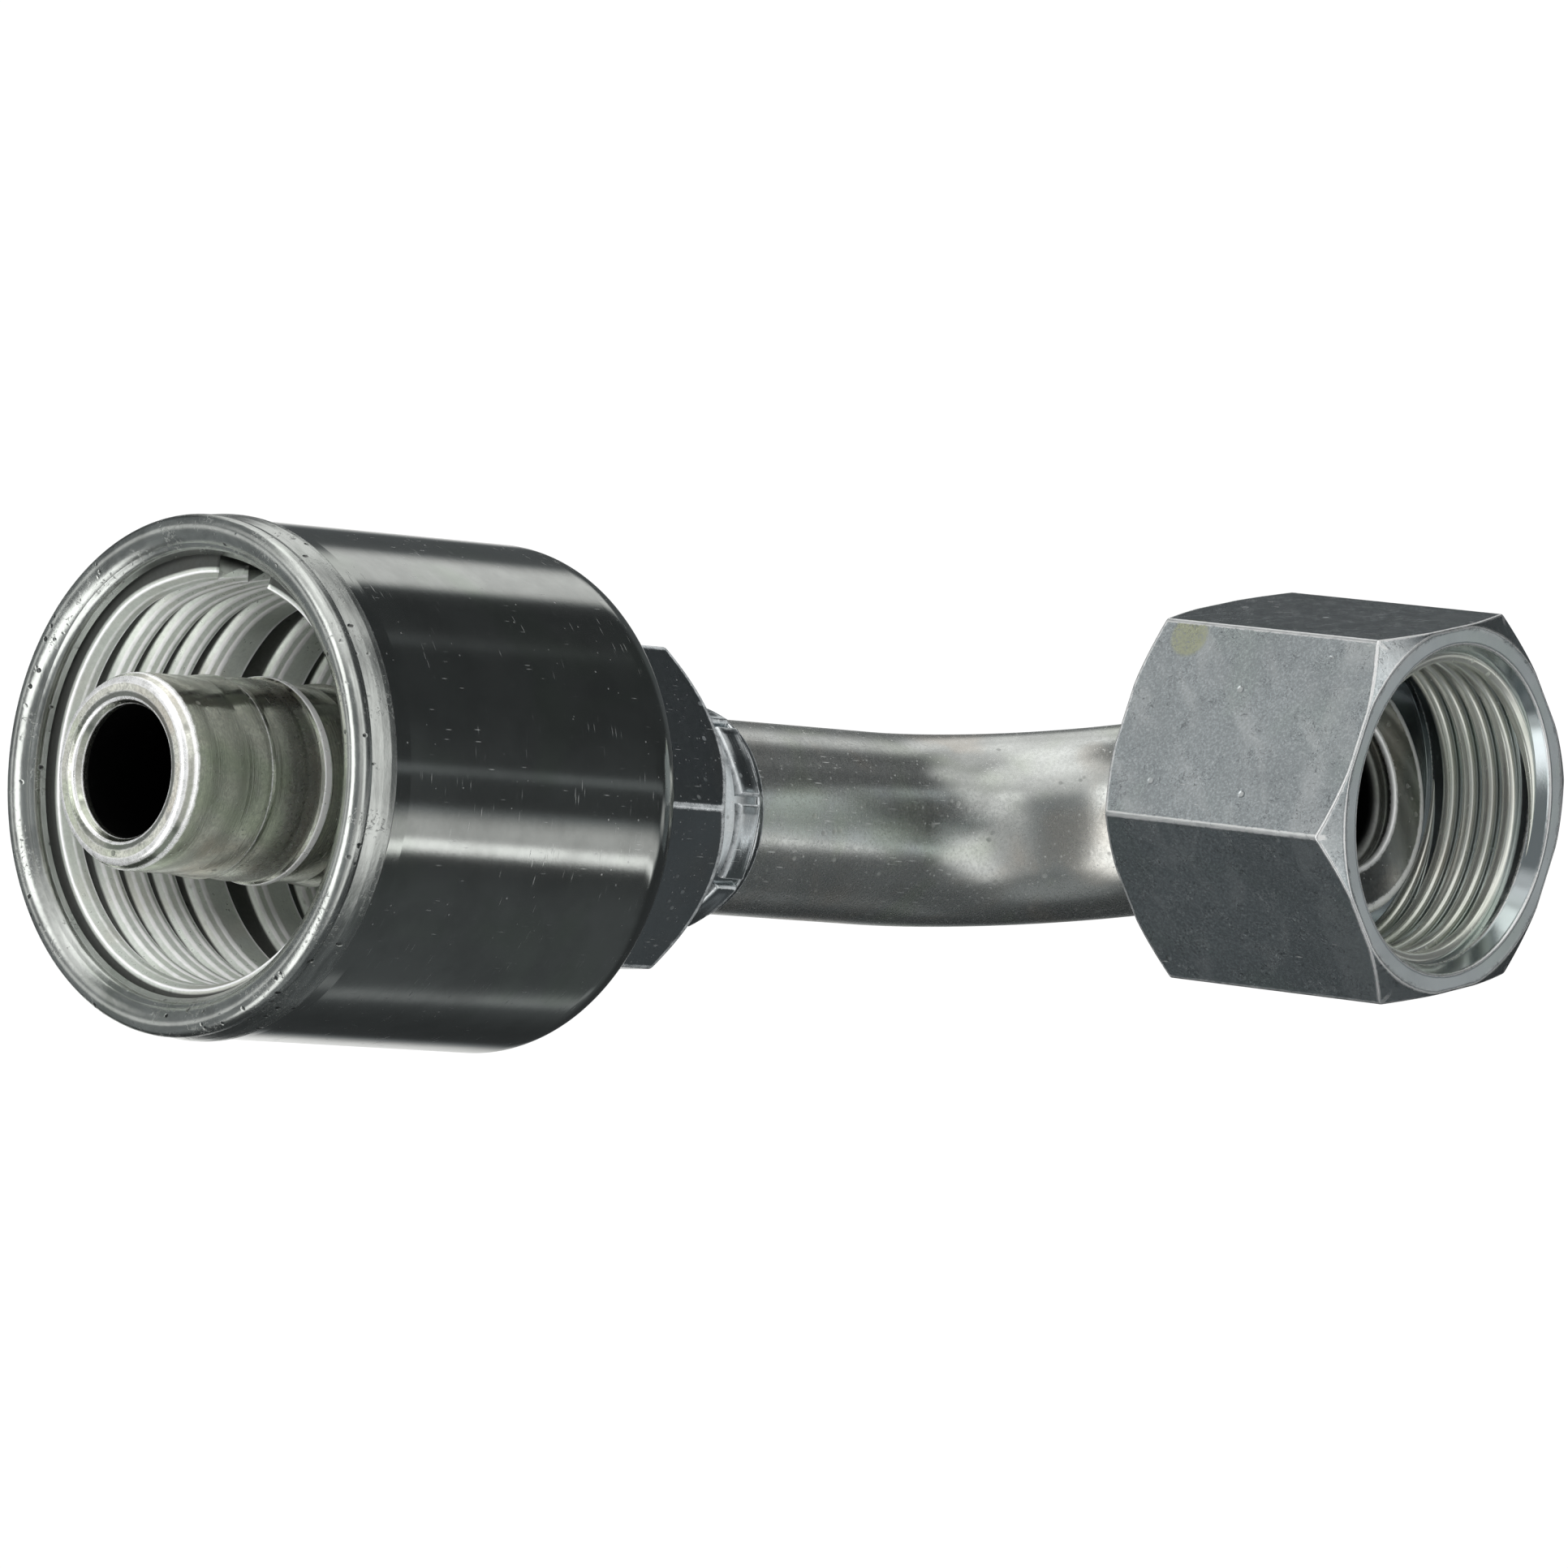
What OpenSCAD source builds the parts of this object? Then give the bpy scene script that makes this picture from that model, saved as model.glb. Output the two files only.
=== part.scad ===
// Hose end with a crimp ferrule, a bent tube and a swivel nut with a flat seal face.
// Origin: on the hose axis, in the plane of the ferrule mouth.
// +X is the way the hose leaves, +Y the way the nut opens, +Z is up. Millimetres.

/* [Ferrule] */
// Outer diameter of the ferrule
ferrule_d = 32.5; // [28:0.1:36]
// Length of the ferrule from mouth to back face
ferrule_length = 29.2; // [26:0.1:36]
// Diameter at the front of the mouth
mouth_d = 32.7; // [30:0.1:36]
// Diameter over the bead around the mouth
bead_d = 33; // [30:0.1:36]
// Start of the full diameter of the bead
bead_start = 2.4; // [1:0.1:3]
// End of the full diameter of the bead
bead_end = 3.2; // [2:0.1:5]
// End of the taper from the bead down to the ferrule diameter
taper_end = 6.3; // [4:0.1:9]
// Diameter of the opening inside the lip
lip_d = 27.66; // [26:0.02:29]
// Length of the lip in front of the bore
lip_length = 1.4; // [1.4:0.1:2]
// Rounding on the outside of the mouth
lip_round = 0.5; // [0.3:0.1:1]
// Large rounding on the inside of the mouth
funnel_round = 2.13; // [1.5:0.01:2.3]
// Diameter of the bore that holds the grip insert
ferrule_bore_d = 29.2; // [28:0.1:30]
// Rounding of the shoulder at the back
shoulder_round = 3; // [1:0.1:4]
// Thickness of the back wall
back_wall = 3.8; // [3:0.1:5]

/* [Grip insert] */
// Diameter over the gripping lands
land_d = 25.8; // [24:0.1:27]
// Diameter at the bottom of the grooves between the lands
groove_d = 27.8; // [26.5:0.1:28.6]
// Start of the insert behind the mouth
insert_start = 1.4; // [1.4:0.1:2]
// End of the insert behind the mouth
insert_end = 23.3; // [22:0.1:25]
// Start and end of each groove at the land diameter
grooves = [[3.3, 5.4], [5.9, 7.8], [8.3, 10.2], [10.7, 12.8], [15, 18], [20.5, 22.3]];
// Width of the steep drop at the front of each groove
groove_drop = 0.2; // [0:0.1:0.5]
// Width of the ramp at the back of each groove
groove_ramp = 1; // [0.2:0.1:1.2]
// Width of the slit that lets the ring spring
slit_width = 4.6; // [1:0.1:5]
// Turn of the slit from the top towards the nut side
slit_turn = 22.5; // [0:0.5:45]

/* [Stem] */
// Distance the stem stands out of the ferrule mouth
nose_out = 4.8; // [0:0.1:8]
// Diameter of the bore through the stem
stem_bore_d = 8.4; // [7:0.1:10]
// Diameter of the stem between its barbs
stem_d = 12.4; // [12:0.05:13]
// Diameter over the shallow barbs
barb_d = 12.8; // [12.5:0.05:13]
// Diameter over the sharp ridge
ridge_d = 13.14; // [12.8:0.02:13.4]
// Rounding of the nose
nose_round = 1; // [0.5:0.1:1.5]
// Crest of each shallow barb behind the mouth
barb_places = [1.9, 4.5, 11.5, 14.7, 17.9];
// Length of the ramp in front of each barb
barb_ramp = 1.6; // [1:0.1:3]
// Length of the drop behind each barb
barb_drop = 0.5; // [0.2:0.1:1]
// Crest of the sharp ridge behind the mouth
ridge_place = 6.6; // [5:0.1:12]
// Width of the flat on top of the ridge
ridge_flat = 0.4; // [0.1:0.1:1]
// Length of the ramp in front of the ridge
ridge_ramp = 1.6; // [0.5:0.1:3]
// Diameter of the neck in the ferrule back wall
neck_d = 15.4; // [14:0.1:17]
// Diameter of the shoulder that locks the ferrule on
lock_d = 17.6; // [16:0.1:19]
// Width of the locking shoulder
lock_width = 1.5; // [1:0.1:2.5]
// Width across the flats of the stem hexagon
stem_hex_flats = 20.64; // [19:0.01:24]
// Length of the stem hexagon
stem_hex_length = 9.4; // [6:0.1:12]
// Roll of the stem hexagon about the hose axis
stem_hex_roll = 8.7; // [-30:0.1:30]
// Height of the rounded chamfer at the back of the hexagon
stem_hex_chamfer = 3; // [0.5:0.1:4]
// Front chamfer of the hexagon
stem_hex_front = 0.8; // [0.3:0.1:2]
// Length of the crimped collar behind the hexagon
collar_length = 6.5; // [4:0.1:9]
// Diameter over the rounded ridges of the collar
collar_d = 14.7; // [14:0.05:16]
// Width across the eight crimped flats of the collar
collar_flats = 14.24; // [13.8:0.01:15]
// Rounding at the end of the collar
collar_round = 0.4; // [0.1:0.1:1]
// Length of the round ring left past the crimped flats
collar_ring = 1.1; // [0.5:0.1:2]

/* [Tube] */
// Outer diameter of the tube
tube_d = 12.7; // [12:0.1:14]
// Bore of the tube
tube_bore_d = 9.4; // [8:0.1:10.5]
// Distance from the ferrule mouth to the corner of the bend
corner_x = 78; // [70:0.1:90]
// Bend radius on the centre line
bend_r = 17.2; // [15:0.1:30]
// Length of tube held in the stem
tube_held = 10.2; // [6:0.1:14]

/* [Tube seal] */
// Thickness of the seal ring
seal_w = 1.45; // [1:0.05:2]
// Centre of the seal ring behind the ferrule mouth
seal_place = 36.9; // [36:0.1:38]
// Length of the groove that holds the seal ring
seal_groove = 1.9; // [1.5:0.1:2.5]

/* [Seat sleeve] */
// Distance from the hose axis to the seal face
seal_face_y = 26.7; // [24:0.1:32]
// Outer diameter of the sleeve
sleeve_d = 17.6; // [16:0.1:18.4]
// Length of the full diameter of the sleeve
sleeve_land = 3.2; // [2:0.1:6]
// Length of the cone behind it
sleeve_cone = 1.7; // [1:0.1:3]
// Diameter of the opening in the seal face
seat_bore_d = 11.2; // [9.4:0.1:12]
// Thickness of the lip in front of the tube end
seat_lip = 1.1; // [0.5:0.1:2]
// Rounding around the seal face
face_round = 0.5; // [0.1:0.1:1]
// Length of the brazed fillet behind the sleeve
braze_length = 0.8; // [0.4:0.1:2]

/* [Swivel nut] */
// Width across the flats of the nut
nut_flats = 23.81; // [20:0.01:28]
// Length of the nut
nut_length = 19.05; // [16:0.05:24]
// Minor diameter of the thread
thread_minor_d = 19; // [18.5:0.02:19.4]
// Major diameter of the thread
thread_major_d = 20.64; // [20:0.01:21]
// Thread pitch
thread_pitch = 1.5875; // [1:0.0001:2]
// Number of thread grooves
thread_grooves = 3; // [2:1:7]
// Width of the crest left between two grooves
thread_crest = 0.4; // [0.2:0.01:0.6]
// Width of the flat at the bottom of a groove
thread_root = 0.2; // [0.1:0.01:0.4]
// Diameter of the countersink at the mouth
countersink_d = 21.5; // [20.7:0.02:22]
// Diameter of the plain relief behind the thread
relief_d = 20.8; // [20.7:0.1:21.2]
// Length from the back of the nut to the first thread crest
relief_end = 12.25; // [7:0.05:13]
// Diameter of the hole at the back of the nut
nut_back_d = 16.5; // [15:0.1:17.2]
// Thickness of the plain lip at the back
nut_lip = 2.2; // [1.5:0.1:3.5]
// Diameter of the flat ring left on each end face
nut_face_d = 24; // [22:0.1:27]
// Chamfer height at the corners of both ends
nut_chamfer = 1.05; // [0.5:0.05:2]
// Centre of the back face of the nut
nut_back = [-77.76, 16.64, 1.55];
// Droop of the loose nut below the tube axis
nut_droop = 13.2; // [0:0.1:14]
// Sideways turn of the loose nut
nut_yaw = 6.7; // [-8:0.1:8]
// Roll of the nut hexagon about its own axis
nut_roll = 12.1; // [-30:0.1:30]

/* [Hidden] */
$fn = 96;
// Overshoot of a cutting tool past the face it cuts.
over = 0.5;
// Number of sides of a hexagon and of the crimped collar.
hex_sides = 6;
crimp_sides = 8;
// Ratio of a hexagon's width across corners to its width across flats.
hex_corner = 1 / cos(180 / hex_sides);
crimp_corner = 1 / cos(180 / crimp_sides);
quarter = 90;
// Stations along the hose axis, counted from the ferrule mouth.
back_start = ferrule_length - back_wall;
lock_start = back_start - lock_width;
hex_start = ferrule_length;
hex_end = hex_start + stem_hex_length;
collar_end = hex_end + collar_length;
flats_end = collar_end - collar_ring;
tube_start = collar_end - tube_held;
bend_start = corner_x - bend_r;
// Where the two roundings of the mouth meet.
crown_d = mouth_d - 2 * lip_round;
// Stations of the sleeve along the nut side of the tube.
tube_end_y = seal_face_y - seat_lip;
sleeve_land_y = seal_face_y - sleeve_land;
sleeve_back_y = sleeve_land_y - sleeve_cone;
sleeve_back_d = sleeve_d - 2 * sleeve_cone;
countersink_h = (countersink_d - thread_minor_d) / 2;
// Colours that tell the pieces apart.
shell_color = [0.42, 0.45, 0.47];
insert_color = [0.72, 0.74, 0.7];
stem_color = [0.6, 0.62, 0.6];
seal_color = [0.08, 0.08, 0.08];
tube_color = [0.52, 0.55, 0.55];
sleeve_color = [0.4, 0.42, 0.42];
braze_color = [0.7, 0.6, 0.35];
nut_color = [0.5, 0.53, 0.54];

// Lays what is drawn along +Z on the hose axis, running back from the ferrule mouth.
module on_hose_axis() {
  rotate([0, -quarter, 0])
    children();
}

// Lays what is drawn along +Z on the tube axis that points at the nut.
module on_nut_side() {
  translate([-corner_x, 0, 0])
    rotate([-quarter, 0, 0])
      children();
}

// Lays what is drawn along +Z on the axis of the loose nut, from its back face.
module on_nut_axis() {
  translate(nut_back)
    rotate([-quarter - nut_droop, 0, nut_yaw])
      children();
}

// The material outside a rounded corner that points to the lower left.
module corner_trim(r) {
  difference() {
    translate([-over, -over])
      square(r + over);
    translate([r, r])
      circle(r);
  }
}

// A ring section from one radius to another.
module band(d_in, d_out, low, high) {
  translate([d_in / 2, low])
    square([(d_out - d_in) / 2, high - low]);
}

module ferrule_section() {
  difference() {
    union() {
      band(lip_d, mouth_d, 0, lip_length);
      polygon([
        [ferrule_bore_d / 2, 0],
        [mouth_d / 2, 0],
        [bead_d / 2, bead_start],
        [bead_d / 2, bead_end],
        [ferrule_d / 2, taper_end],
        [ferrule_d / 2, ferrule_length],
        [ferrule_bore_d / 2, ferrule_length]
      ]);
      band(neck_d, ferrule_d, back_start, ferrule_length);
    }
    translate([crown_d / 2 - funnel_round, 0])
      corner_trim(funnel_round);
    translate([mouth_d / 2, 0])
      mirror([1, 0])
        corner_trim(lip_round);
    translate([ferrule_d / 2, ferrule_length])
      mirror([1, 0])
        mirror([0, 1])
          corner_trim(shoulder_round);
  }
}

module ferrule() {
  color(shell_color)
    on_hose_axis()
      rotate_extrude()
        ferrule_section();
}

// One groove of the insert: a steep drop at its front and a ramp up to the next land.
module groove(low, high) {
  polygon([
    [land_d / 2 - over, low],
    [land_d / 2, low],
    [groove_d / 2, low + groove_drop],
    [groove_d / 2, high - groove_ramp],
    [land_d / 2, high],
    [land_d / 2 - over, high]
  ]);
}

module insert_section() {
  difference() {
    band(land_d, ferrule_bore_d, insert_start, insert_end);
    for (span = grooves)
      groove(span[0], span[1]);
  }
}

module grip_insert() {
  color(insert_color)
    on_hose_axis()
      difference() {
        rotate_extrude()
          insert_section();
        rotate([0, 0, slit_turn])
          translate([0, -slit_width / 2, 0])
            cube([ferrule_d, slit_width, ferrule_length]);
      }
}

// One shallow barb: a long ramp that faces the hose and a short drop behind it.
module barb(place, crest_d, ramp, flat) {
  polygon([
    [stem_bore_d / 2, place - ramp],
    [stem_d / 2, place - ramp],
    [crest_d / 2, place],
    [crest_d / 2, place + flat],
    [stem_d / 2, place + flat + barb_drop],
    [stem_bore_d / 2, place + flat + barb_drop]
  ]);
}

module stem_section() {
  difference() {
    union() {
      band(stem_bore_d, stem_d, -nose_out, lock_start);
      for (place = barb_places)
        barb(place, barb_d, barb_ramp, barb_drop / 2);
      barb(ridge_place, ridge_d, ridge_ramp, ridge_flat);
      band(stem_bore_d, lock_d, lock_start, back_start);
      band(stem_bore_d, neck_d, back_start, hex_start);
    }
    translate([stem_bore_d / 2, -nose_out])
      corner_trim(nose_round / 2);
    translate([stem_d / 2, -nose_out])
      mirror([1, 0])
        corner_trim(nose_round);
  }
}

// The hexagon with a chamfer turned on both ends.
module stem_hexagon() {
  corner_d = stem_hex_flats * hex_corner;
  intersection() {
    translate([0, 0, hex_start])
      rotate([0, 0, quarter + stem_hex_roll])
        cylinder(h = stem_hex_length, d = corner_d, $fn = hex_sides);
    rotate_extrude()
      polygon([
        [0, hex_start],
        [stem_hex_flats / 2, hex_start],
        [corner_d / 2, hex_start + stem_hex_front],
        [corner_d / 2, hex_end - stem_hex_chamfer],
        [stem_hex_flats / 2, hex_end - stem_hex_chamfer / 2],
        [collar_d / 2 + stem_hex_chamfer / 2, hex_end],
        [0, hex_end]
      ]);
  }
}

// The collar: a turned ring pressed to eight flats by the crimping jaws, round at its end.
module crimped_collar() {
  intersection() {
    translate([0, 0, hex_end - over])
      cylinder(h = flats_end - hex_end + over, d = collar_flats * crimp_corner, $fn = crimp_sides);
    rotate_extrude()
      band(0, collar_d, hex_end - over, collar_end);
  }
  rotate_extrude()
    difference() {
      band(0, collar_d, flats_end, collar_end);
      translate([collar_d / 2, collar_end])
        mirror([1, 0])
          mirror([0, 1])
            corner_trim(collar_round);
    }
}

module hose_stem() {
  color(stem_color)
    on_hose_axis()
      difference() {
        union() {
          rotate_extrude()
            stem_section();
          stem_hexagon();
          crimped_collar();
        }
        translate([0, 0, hex_start - over])
          cylinder(h = collar_length + stem_hex_length, d = stem_bore_d);
        translate([0, 0, tube_start])
          cylinder(h = tube_held + over, d = tube_d);
        translate([0, 0, seal_place - seal_groove / 2])
          cylinder(h = seal_groove, d = tube_d + 2 * seal_w);
      }
}

module tube_seal() {
  color(seal_color)
    on_hose_axis()
      translate([0, 0, seal_place])
        rotate_extrude()
          translate([(tube_d + seal_w) / 2, 0])
            circle(d = seal_w);
}

// The bent path of the tube, swept with one diameter.
module tube_path(d, extra) {
  on_hose_axis()
    translate([0, 0, tube_start - extra])
      cylinder(h = bend_start - tube_start + extra, d = d);
  translate([-bend_start, bend_r, 0])
    rotate([0, 0, 2 * quarter])
      rotate_extrude(angle = quarter)
        translate([bend_r, 0])
          circle(d = d);
  on_nut_side()
    translate([0, 0, bend_r])
      cylinder(h = tube_end_y - bend_r + extra, d = d);
}

module elbow_tube() {
  color(tube_color)
    difference() {
      tube_path(tube_d, 0);
      tube_path(tube_bore_d, over);
    }
}

module sleeve_section() {
  difference() {
    union() {
      band(tube_d, sleeve_d, sleeve_land_y, seal_face_y);
      band(seat_bore_d, sleeve_d, tube_end_y, seal_face_y);
      polygon([
        [tube_d / 2, sleeve_back_y],
        [sleeve_back_d / 2, sleeve_back_y],
        [sleeve_d / 2, sleeve_land_y],
        [tube_d / 2, sleeve_land_y]
      ]);
    }
    translate([sleeve_d / 2, seal_face_y])
      mirror([1, 0])
        mirror([0, 1])
          corner_trim(face_round);
  }
}

module seat_sleeve() {
  color(sleeve_color)
    on_nut_side()
      rotate_extrude()
        sleeve_section();
}

// The braze that fills the corner behind the sleeve.
module braze_ring() {
  color(braze_color)
    on_nut_side()
      rotate_extrude()
        polygon([
          [tube_d / 2, sleeve_back_y - braze_length],
          [sleeve_back_d / 2, sleeve_back_y],
          [tube_d / 2, sleeve_back_y]
        ]);
}

// The nut body: a hexagon with both ends chamfered round.
module nut_body() {
  corner_d = nut_flats * hex_corner;
  intersection() {
    rotate([0, 0, nut_roll])
      cylinder(h = nut_length, d = corner_d, $fn = hex_sides);
    rotate_extrude()
      polygon([
        [0, 0],
        [nut_face_d / 2, 0],
        [corner_d / 2, nut_chamfer],
        [corner_d / 2, nut_length - nut_chamfer],
        [nut_face_d / 2, nut_length],
        [0, nut_length]
      ]);
  }
}

// One ring groove of the thread, cut outwards from the minor diameter.
module thread_groove(start) {
  mouth = thread_pitch - thread_crest;
  inset = (mouth - thread_root) / 2;
  polygon([
    [0, start],
    [thread_minor_d / 2, start],
    [thread_major_d / 2, start + inset],
    [thread_major_d / 2, start + inset + thread_root],
    [thread_minor_d / 2, start + mouth],
    [0, start + mouth]
  ]);
}

module nut_hollow() {
  cone_end = nut_lip + (relief_d - nut_back_d) / 2;
  rotate_extrude() {
    band(0, nut_back_d, -over, relief_end);
    polygon([
      [0, nut_lip],
      [nut_back_d / 2, nut_lip],
      [relief_d / 2, cone_end],
      [relief_d / 2, relief_end - thread_crest],
      [thread_minor_d / 2, relief_end],
      [thread_minor_d / 2, nut_length - countersink_h],
      [countersink_d / 2, nut_length],
      [countersink_d / 2, nut_length + over],
      [0, nut_length + over]
    ]);
    for (i = [0 : thread_grooves - 1])
      thread_groove(relief_end + thread_crest + i * thread_pitch);
  }
}

module swivel_nut() {
  color(nut_color)
    on_nut_axis()
      difference() {
        nut_body();
        nut_hollow();
      }
}

ferrule();
grip_insert();
hose_stem();
tube_seal();
elbow_tube();
seat_sleeve();
braze_ring();
swivel_nut();
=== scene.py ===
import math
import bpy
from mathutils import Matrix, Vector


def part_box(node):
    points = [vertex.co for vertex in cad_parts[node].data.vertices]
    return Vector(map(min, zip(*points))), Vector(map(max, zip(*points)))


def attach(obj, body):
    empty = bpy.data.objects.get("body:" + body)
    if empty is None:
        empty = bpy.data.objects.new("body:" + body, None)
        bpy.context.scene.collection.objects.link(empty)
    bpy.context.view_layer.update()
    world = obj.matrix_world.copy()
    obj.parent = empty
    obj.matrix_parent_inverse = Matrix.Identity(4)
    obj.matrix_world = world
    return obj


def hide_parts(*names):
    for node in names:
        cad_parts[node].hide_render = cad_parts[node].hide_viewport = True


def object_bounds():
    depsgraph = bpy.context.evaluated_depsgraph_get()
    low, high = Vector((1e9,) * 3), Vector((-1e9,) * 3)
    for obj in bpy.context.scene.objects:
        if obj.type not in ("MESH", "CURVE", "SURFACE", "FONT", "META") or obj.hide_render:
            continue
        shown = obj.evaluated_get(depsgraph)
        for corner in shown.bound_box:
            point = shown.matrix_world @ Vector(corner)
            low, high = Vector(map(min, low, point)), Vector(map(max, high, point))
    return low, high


bl_info = {
    "name": "Hydraulic Hose End",
    "version": (1, 0, 0),
    "blender": (4, 5, 0),
    "location": "View3D > Sidebar > Hose End",
    "description": "Builds a crimped hose end with a bent tube and a loose swivel nut",
    "category": "Object",
}

import bpy
import numpy as np
from mathutils import Matrix, Vector

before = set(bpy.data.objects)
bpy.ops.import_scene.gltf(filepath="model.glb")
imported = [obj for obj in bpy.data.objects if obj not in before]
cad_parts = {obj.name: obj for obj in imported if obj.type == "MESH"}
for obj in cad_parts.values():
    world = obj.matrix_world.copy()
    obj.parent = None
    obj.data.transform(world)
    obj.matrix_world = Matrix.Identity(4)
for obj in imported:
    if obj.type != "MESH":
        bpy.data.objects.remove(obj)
cad_box = [list(corner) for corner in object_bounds()]

# Points are worked out in millimetres and turned into metres when a mesh is made.
MM = 0.001
TURN = 2 * math.pi


def size_of(node, axis):
    """Length of a node's box along one axis, in metres."""
    low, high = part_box(node)
    return high[axis] - low[axis]


SHELL_DIAMETER = 2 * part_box("ferrule")[1].z
SHELL_LENGTH = size_of("ferrule", 0)
STEM_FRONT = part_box("hose_stem")[1].x
STEM_BACK = -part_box("hose_stem")[0].x
INSERT_START = -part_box("grip_insert")[1].x
INSERT_END = -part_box("grip_insert")[0].x
INSERT_OUTSIDE = size_of("grip_insert", 2)
TUBE_CORNER = -(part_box("seat_sleeve")[0].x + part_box("seat_sleeve")[1].x) / 2
TUBE_START = -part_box("elbow_tube")[1].x
TUBE_DIAMETER = size_of("elbow_tube", 2)
SLEEVE_DIAMETER = size_of("seat_sleeve", 0)
SEAT_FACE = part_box("seat_sleeve")[1].y
BRAZE_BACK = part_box("braze_ring")[0].y
BRAZE_DIAMETER = size_of("braze_ring", 0)
SEAL_PLACE = -(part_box("tube_seal")[0].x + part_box("tube_seal")[1].x) / 2
SEAL_WIDTH = size_of("tube_seal", 0)
FLOOR_HEIGHT = min(corner[2] for corner in cad_box)

# The ferrule's back wall sits on the stem in front of the hexagon, in millimetres.
LOCK_DEPTH = 3.8
LOCK_RADIUS = 7.7


# ---------------------------------------------------------------- places

class Place:
    """A frame in which a piece is drawn along +Z: a rotation and an offset in millimetres."""

    def __init__(self, turn, offset=(0, 0, 0)):
        self.turn = np.array(turn, float)
        self.offset = np.array(offset, float)

    def put(self, points):
        return (points @ self.turn.T + self.offset) * MM


def turned_about(axis, degrees):
    return np.array(Matrix.Rotation(math.radians(degrees), 3, axis))


HOSE_AXIS = Place(turned_about("Y", -90))


# ---------------------------------------------------------------- outlines

def rounded(corners, worn=0.3):
    """A closed outline through corners (radius, height, fillet), with arcs in the corners.

    Holding points keep the flats flat beside each arc. The second result is the wear of the
    edges: 1 on the arcs of sharp outer corners, less on blunt ones, and 0 from the distance
    worn beside them.
    """
    arc_steps, nearly_straight, side_share = 4, 1.565, 0.46
    blunt = 0.45
    count = len(corners)
    points = [np.array(c[:2], float) for c in corners]
    area = sum(points[i][0] * points[(i + 1) % count][1]
               - points[(i + 1) % count][0] * points[i][1] for i in range(count))
    outline, wear_and_painted_light = [], []
    for i in range(count):
        here, before, after = points[i], points[i - 1], points[(i + 1) % count]
        fillet = corners[i][2]
        back, ahead = before - here, after - here
        back_length, ahead_length = np.linalg.norm(back), np.linalg.norm(ahead)
        back, ahead = back / back_length, ahead / ahead_length
        half = math.acos(max(-1.0, min(1.0, float(back @ ahead)))) / 2
        cross = back[0] * ahead[1] - back[1] * ahead[0]
        outer = min(1.0, (math.pi - 2 * half) / blunt) if cross * area < 0 else 0.0
        if fillet <= 0 or half > nearly_straight:
            outline.append(here)
            wear_and_painted_light.append(0.0)
            continue
        reach = min(fillet / math.tan(half), side_share * back_length,
                    side_share * ahead_length)
        radius = reach * math.tan(half)
        centre = here + (back + ahead) / np.linalg.norm(back + ahead) * radius / math.sin(half)
        start, end = here + back * reach, here + ahead * reach
        hold_back = min(worn, 0.04 * back_length, 0.45 * (back_length - 2 * reach) + 1e-6)
        hold_ahead = min(worn, 0.04 * ahead_length, 0.45 * (ahead_length - 2 * reach) + 1e-6)
        far_back = min(worn, 0.3 * (back_length - reach))
        far_ahead = min(worn, 0.3 * (ahead_length - reach))
        outline += [start + back * far_back, start + back * min(hold_back, far_back / 2)]
        wear_and_painted_light += [0.0, outer * 0.75]
        first = math.atan2(*(start - centre)[::-1])
        sweep = math.atan2(*(end - centre)[::-1]) - first
        sweep = (sweep + math.pi) % TURN - math.pi
        for step in range(arc_steps + 1):
            angle = first + sweep * step / arc_steps
            outline.append(centre + radius * np.array([math.cos(angle), math.sin(angle)]))
            wear_and_painted_light.append(outer)
        outline += [end + ahead * min(hold_ahead, far_ahead / 2), end + ahead * far_ahead]
        wear_and_painted_light += [outer * 0.75, 0.0]
    return np.array(outline), np.array(wear_and_painted_light)


def arc(centre, radius, start, end, steps):
    """Corner points without a fillet along an arc, in degrees from the radius direction."""
    return [(centre[0] + radius * math.cos(math.radians(a)),
             centre[1] + radius * math.sin(math.radians(a)), 0)
            for a in np.linspace(start, end, steps)]


# ---------------------------------------------------------------- meshes

def grid_faces(rows, columns, close_rows=True, close_columns=True):
    """Four-sided faces over a grid of points laid out row by row."""
    i = np.arange(rows if close_rows else rows - 1)
    j = np.arange(columns if close_columns else columns - 1)
    i, j = np.meshgrid(i, j, indexing="ij")
    i, j = i.ravel(), j.ravel()
    i_next, j_next = (i + 1) % rows, (j + 1) % columns
    return np.stack([i * columns + j, i * columns + j_next,
                     i_next * columns + j_next, i_next * columns + j], 1)


def swept_round(outline, steps, start=0.0, sweep=360.0):
    """Points of an outline (radius, height) turned about +Z, and the faces between them."""
    whole = sweep >= 360
    angles = np.radians(start + sweep * np.arange(steps + (0 if whole else 1)) / steps)
    radius, height = outline[:, 0, None], outline[:, 1, None]
    points = np.stack([radius * np.cos(angles), radius * np.sin(angles),
                       height + 0 * angles], 2).reshape(-1, 3)
    faces = grid_faces(len(outline), len(angles), True, whole).tolist()
    if not whole:
        rows = np.arange(len(outline)) * len(angles)
        faces += [rows[::-1].tolist(), (rows + len(angles) - 1).tolist()]
    return points, faces


def inside_out(points, faces):
    """True if the faces of a closed mesh point inwards."""
    quads = np.array([f for f in faces if len(f) == 4])
    a, b, c, d = (points[quads[:, k]] for k in range(4))
    volume = np.einsum("ij,ij->i", a, np.cross(b, c)) + np.einsum("ij,ij->i", a, np.cross(c, d))
    return volume.sum() < 0


def new_object(name, data):
    """An object in the scene."""
    made = bpy.data.objects.new(name, data)
    bpy.context.scene.collection.objects.link(made)
    return made


# Worn edges above zero, painted shade below zero, and a painted highlight on the stem's ridge.
def set_wear_and_painted_light(mesh, wear_and_painted_light):
    layer = mesh.attributes.new("wear_and_painted_light", "FLOAT", "POINT")
    layer.data.foreach_set("value", np.ascontiguousarray(wear_and_painted_light, dtype=np.float32))


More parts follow.
